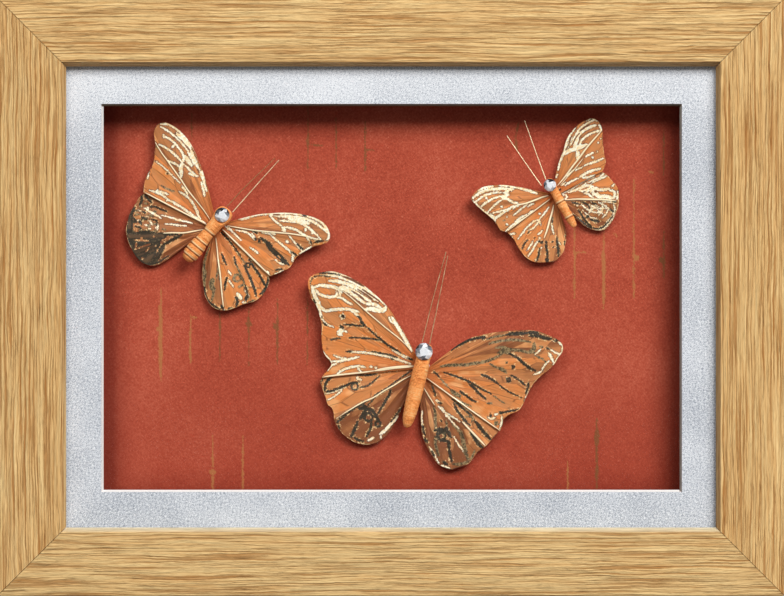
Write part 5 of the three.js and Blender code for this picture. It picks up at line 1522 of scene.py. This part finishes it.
def addAntenna(name, side, insect, material):
    # a round section carried along a smooth path; it narrows a little and sinks a little to the tip
    path = spacedLine(insect["antennae"][side], wireLook["steps"])
    out = np.linspace(0, 1, len(path))[:, None]
    height = axisHeight(insect) - wireLook["drop"] * out
    run = np.gradient(path, axis=0)
    run = run / np.linalg.norm(run, axis=1, keepdims=True)
    angle = ringAngles(wireLook["around"])
    radius = wireLook["radius"] + (wireLook["tip"] - wireLook["radius"]) * out
    u = path[:, :1] + radius * np.cos(angle) * run[:, 1:]
    v = path[:, 1:] - radius * np.cos(angle) * run[:, :1]
    points = onBoard(insect, u, v, height + radius * np.sin(angle)).reshape(-1, 3)
    node = f"{name}_antenna_{side}"
    # each antenna's painted light
    marks = {"polish": np.full(len(points), insect["polish"][side])}
    addPiece(f"{node}_wire", points, tubeFaces(*u.shape), material, [node], marks=marks, sharp=50)


wirePaint = wireMaterial()
for wireName, insect in butterflies.items():
    for wireSide in ("left", "right"):
        addAntenna(wireName, wireSide, insect, wirePaint)
print("antennae done")

padLook = {
    "insets": (0.3, 0.1),  # from the bulge's radius, at the edges and a third of the way in
    "round": 0.35,
    "steps": 25,
    "around": 48,
    "cells": 0.0005,
    "light": (238, 236, 230),
    "dark": (206, 202, 192),
}


def padMaterial():
    p = Paint("foam")
    cells = p.noise(p.place(), padLook["cells"], 2)
    colour = p.ramp(cells, (0.35, padLook["dark"]), (0.6, padLook["light"]))
    return p.surface(Base_Color=colour, Roughness=0.95, Normal=p.bump(cells * 0.2))


def addPad(name, insect, material):
    # a low disc whose side bulges a little, with soft edges: a profile turned about its axis
    r, top, e = insect["pad"], perch["pad"], padLook["round"]
    edge, side = r - np.array(padLook["insets"])
    profile = [
        (edge - e, 0),
        (edge, e * 0.3),
        (side, top * 0.3),
        (r, top * 0.5),
        (side, top * 0.7),
        (edge, top - e * 0.3),
        (edge - e, top),
    ]
    radius, height = spacedLine(profile, padLook["steps"]).T[..., None]
    radius, height = np.minimum(radius, r), np.clip(height, 0, top)
    angle = ringAngles(padLook["around"])
    u, v = radius * np.cos(angle), radius * np.sin(angle)
    points = onBoard(insect, u, v, np.broadcast_to(height, u.shape)).reshape(-1, 3)
    addPiece(f"{name}_pad", points, tubeFaces(*u.shape), material, [f"{name}_foam_pad"], sharp=45)


padPaint = padMaterial()
for padName, insect in butterflies.items():
    addPad(padName, insect, padPaint)
print("pads done")

# Nodes that keep their own shape and get a finish
backLook = {
    "flake": (0.0035, 0.0035, 0.0012),
    "dust": 0.0007,
    "cloud": 0.06,
    "brush": (0.012, 0.012, 0.0004),
    "stain": 0.006,
    "brown": (128, 94, 64),
    "light": (156, 120, 86),
    "dark": (92, 64, 42),
    "steel": (176, 178, 182),
    "rust": (128, 118, 106),
}


def hardboardMaterial():
    p = Paint("hardboard")
    here = p.place()
    flake = p.noise(here, backLook["flake"], 3, (0, 30, 0))
    dust = p.noise(here, backLook["dust"], 2)
    cloud = p.noise(here, backLook["cloud"], 2)
    tone = flake * 0.6 + dust * 0.45 + cloud * 0.4 - 0.22
    colour = p.ramp(tone, (0.25, backLook["dark"]), (0.5, backLook["brown"]), (0.75, backLook["light"]))
    return p.surface(Base_Color=colour, Roughness=0.72, Normal=p.bump(flake * 0.08 + dust * 0.05))


def steelMaterial():
    p = Paint("steel")
    here = p.place()
    brush = p.noise(here, backLook["brush"], 2)
    stain = p.noise(here, backLook["stain"], 3).ease(0.55, 0.75)
    colour = p.mix(stain * 0.5, backLook["steel"], backLook["rust"])
    rough = 0.28 + brush * 0.2 + stain * 0.2
    return p.surface(Base_Color=colour, Metallic=1.0, Roughness=rough, Normal=p.bump(brush * 0.02))


finishes = {
    "spacer": redMaterial("red_strip", False),
    "back_panel": hardboardMaterial(),
    "sawtooth": steelMaterial(),
}
finishes["fixing_tab"] = finishes["sawtooth"]
for nodeName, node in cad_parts.items():
    for start, finish in finishes.items():
        if nodeName.startswith(start):
            node.data.materials.clear()
            node.data.materials.append(finish)
print("kept nodes finished")

# Floor, light and camera, in metres
studio = {
    "floor": (206, 204, 200),
    "floorShade": (190, 188, 184),
    "floorHalf": 3,
    "floorSpeck": 0.4,
    "lamps": {
        "right": {"at": (1.75, -3.55, 2.50), "size": (2.6, 1.9), "power": 186.0},
        "left": {"at": (-1.45, -3.65, 2.50), "size": (1.8, 1.6), "power": 52.0},
        "back": {"at": (-1.2, 3.4, 2.40), "size": (1.8, 1.6), "power": 120.0},
    },
    "aim": (0.0, 0.0, 0.136),
    "air": 0.17,
    "camera": {"at": (0.00047, -1.686, 0.13552), "lens": 168.5, "sensor": 36},  # lens and sensor in mm
}


def addFloor():
    p = Paint("floor")
    speck = p.noise(p.place(), studio["floorSpeck"], 2)
    colour = p.mix(speck * 0.1, studio["floor"], studio["floorShade"])
    plain = p.surface(Base_Color=colour, Roughness=0.9)
    mesh = bpy.data.meshes.new("floor")
    h = studio["floorHalf"]
    mesh.from_pydata([(-h, -h, 0), (h, -h, 0), (h, h, 0), (-h, h, 0)], [], [(0, 1, 2, 3)])
    mesh.materials.append(plain)
    floor = bpy.data.objects.new("floor", mesh)
    bpy.context.scene.collection.objects.link(floor)
    floor.visible_diffuse = False  # the frame is lit by the lamps and the air alone
    floor.visible_glossy = False


def addLights():
    for name, lamp in studio["lamps"].items():
        light = bpy.data.lights.new(name, "AREA")
        light.shape = "RECTANGLE"
        light.size, light.size_y = lamp["size"]
        light.energy = lamp["power"]
        holder = bpy.data.objects.new(name, light)
        x, y, z = np.array(studio["aim"]) - np.array(lamp["at"])
        holder.location = lamp["at"]
        holder.rotation_euler = (math.acos(-z / math.hypot(x, y, z)), 0, math.atan2(y, x) - math.pi / 2)
        bpy.context.scene.collection.objects.link(holder)
    world = bpy.data.worlds.new("air")
    world.use_nodes = True
    air = world.node_tree.nodes["Background"]
    air.inputs["Color"].default_value = (1, 1, 1, 1)
    air.inputs["Strength"].default_value = studio["air"]
    bpy.context.scene.world = world


def addCamera():
    view = bpy.data.cameras.new("camera")
    view.sensor_width = studio["camera"]["sensor"]
    view.lens = studio["camera"]["lens"]
    holder = bpy.data.objects.new("camera", view)
    holder.location = studio["camera"]["at"]
    holder.rotation_euler = (math.pi / 2, 0, 0)
    bpy.context.scene.collection.objects.link(holder)
    bpy.context.scene.camera = holder


addFloor()
addLights()
addCamera()
bpy.context.scene.view_settings.view_transform = "Standard"
print("studio done")
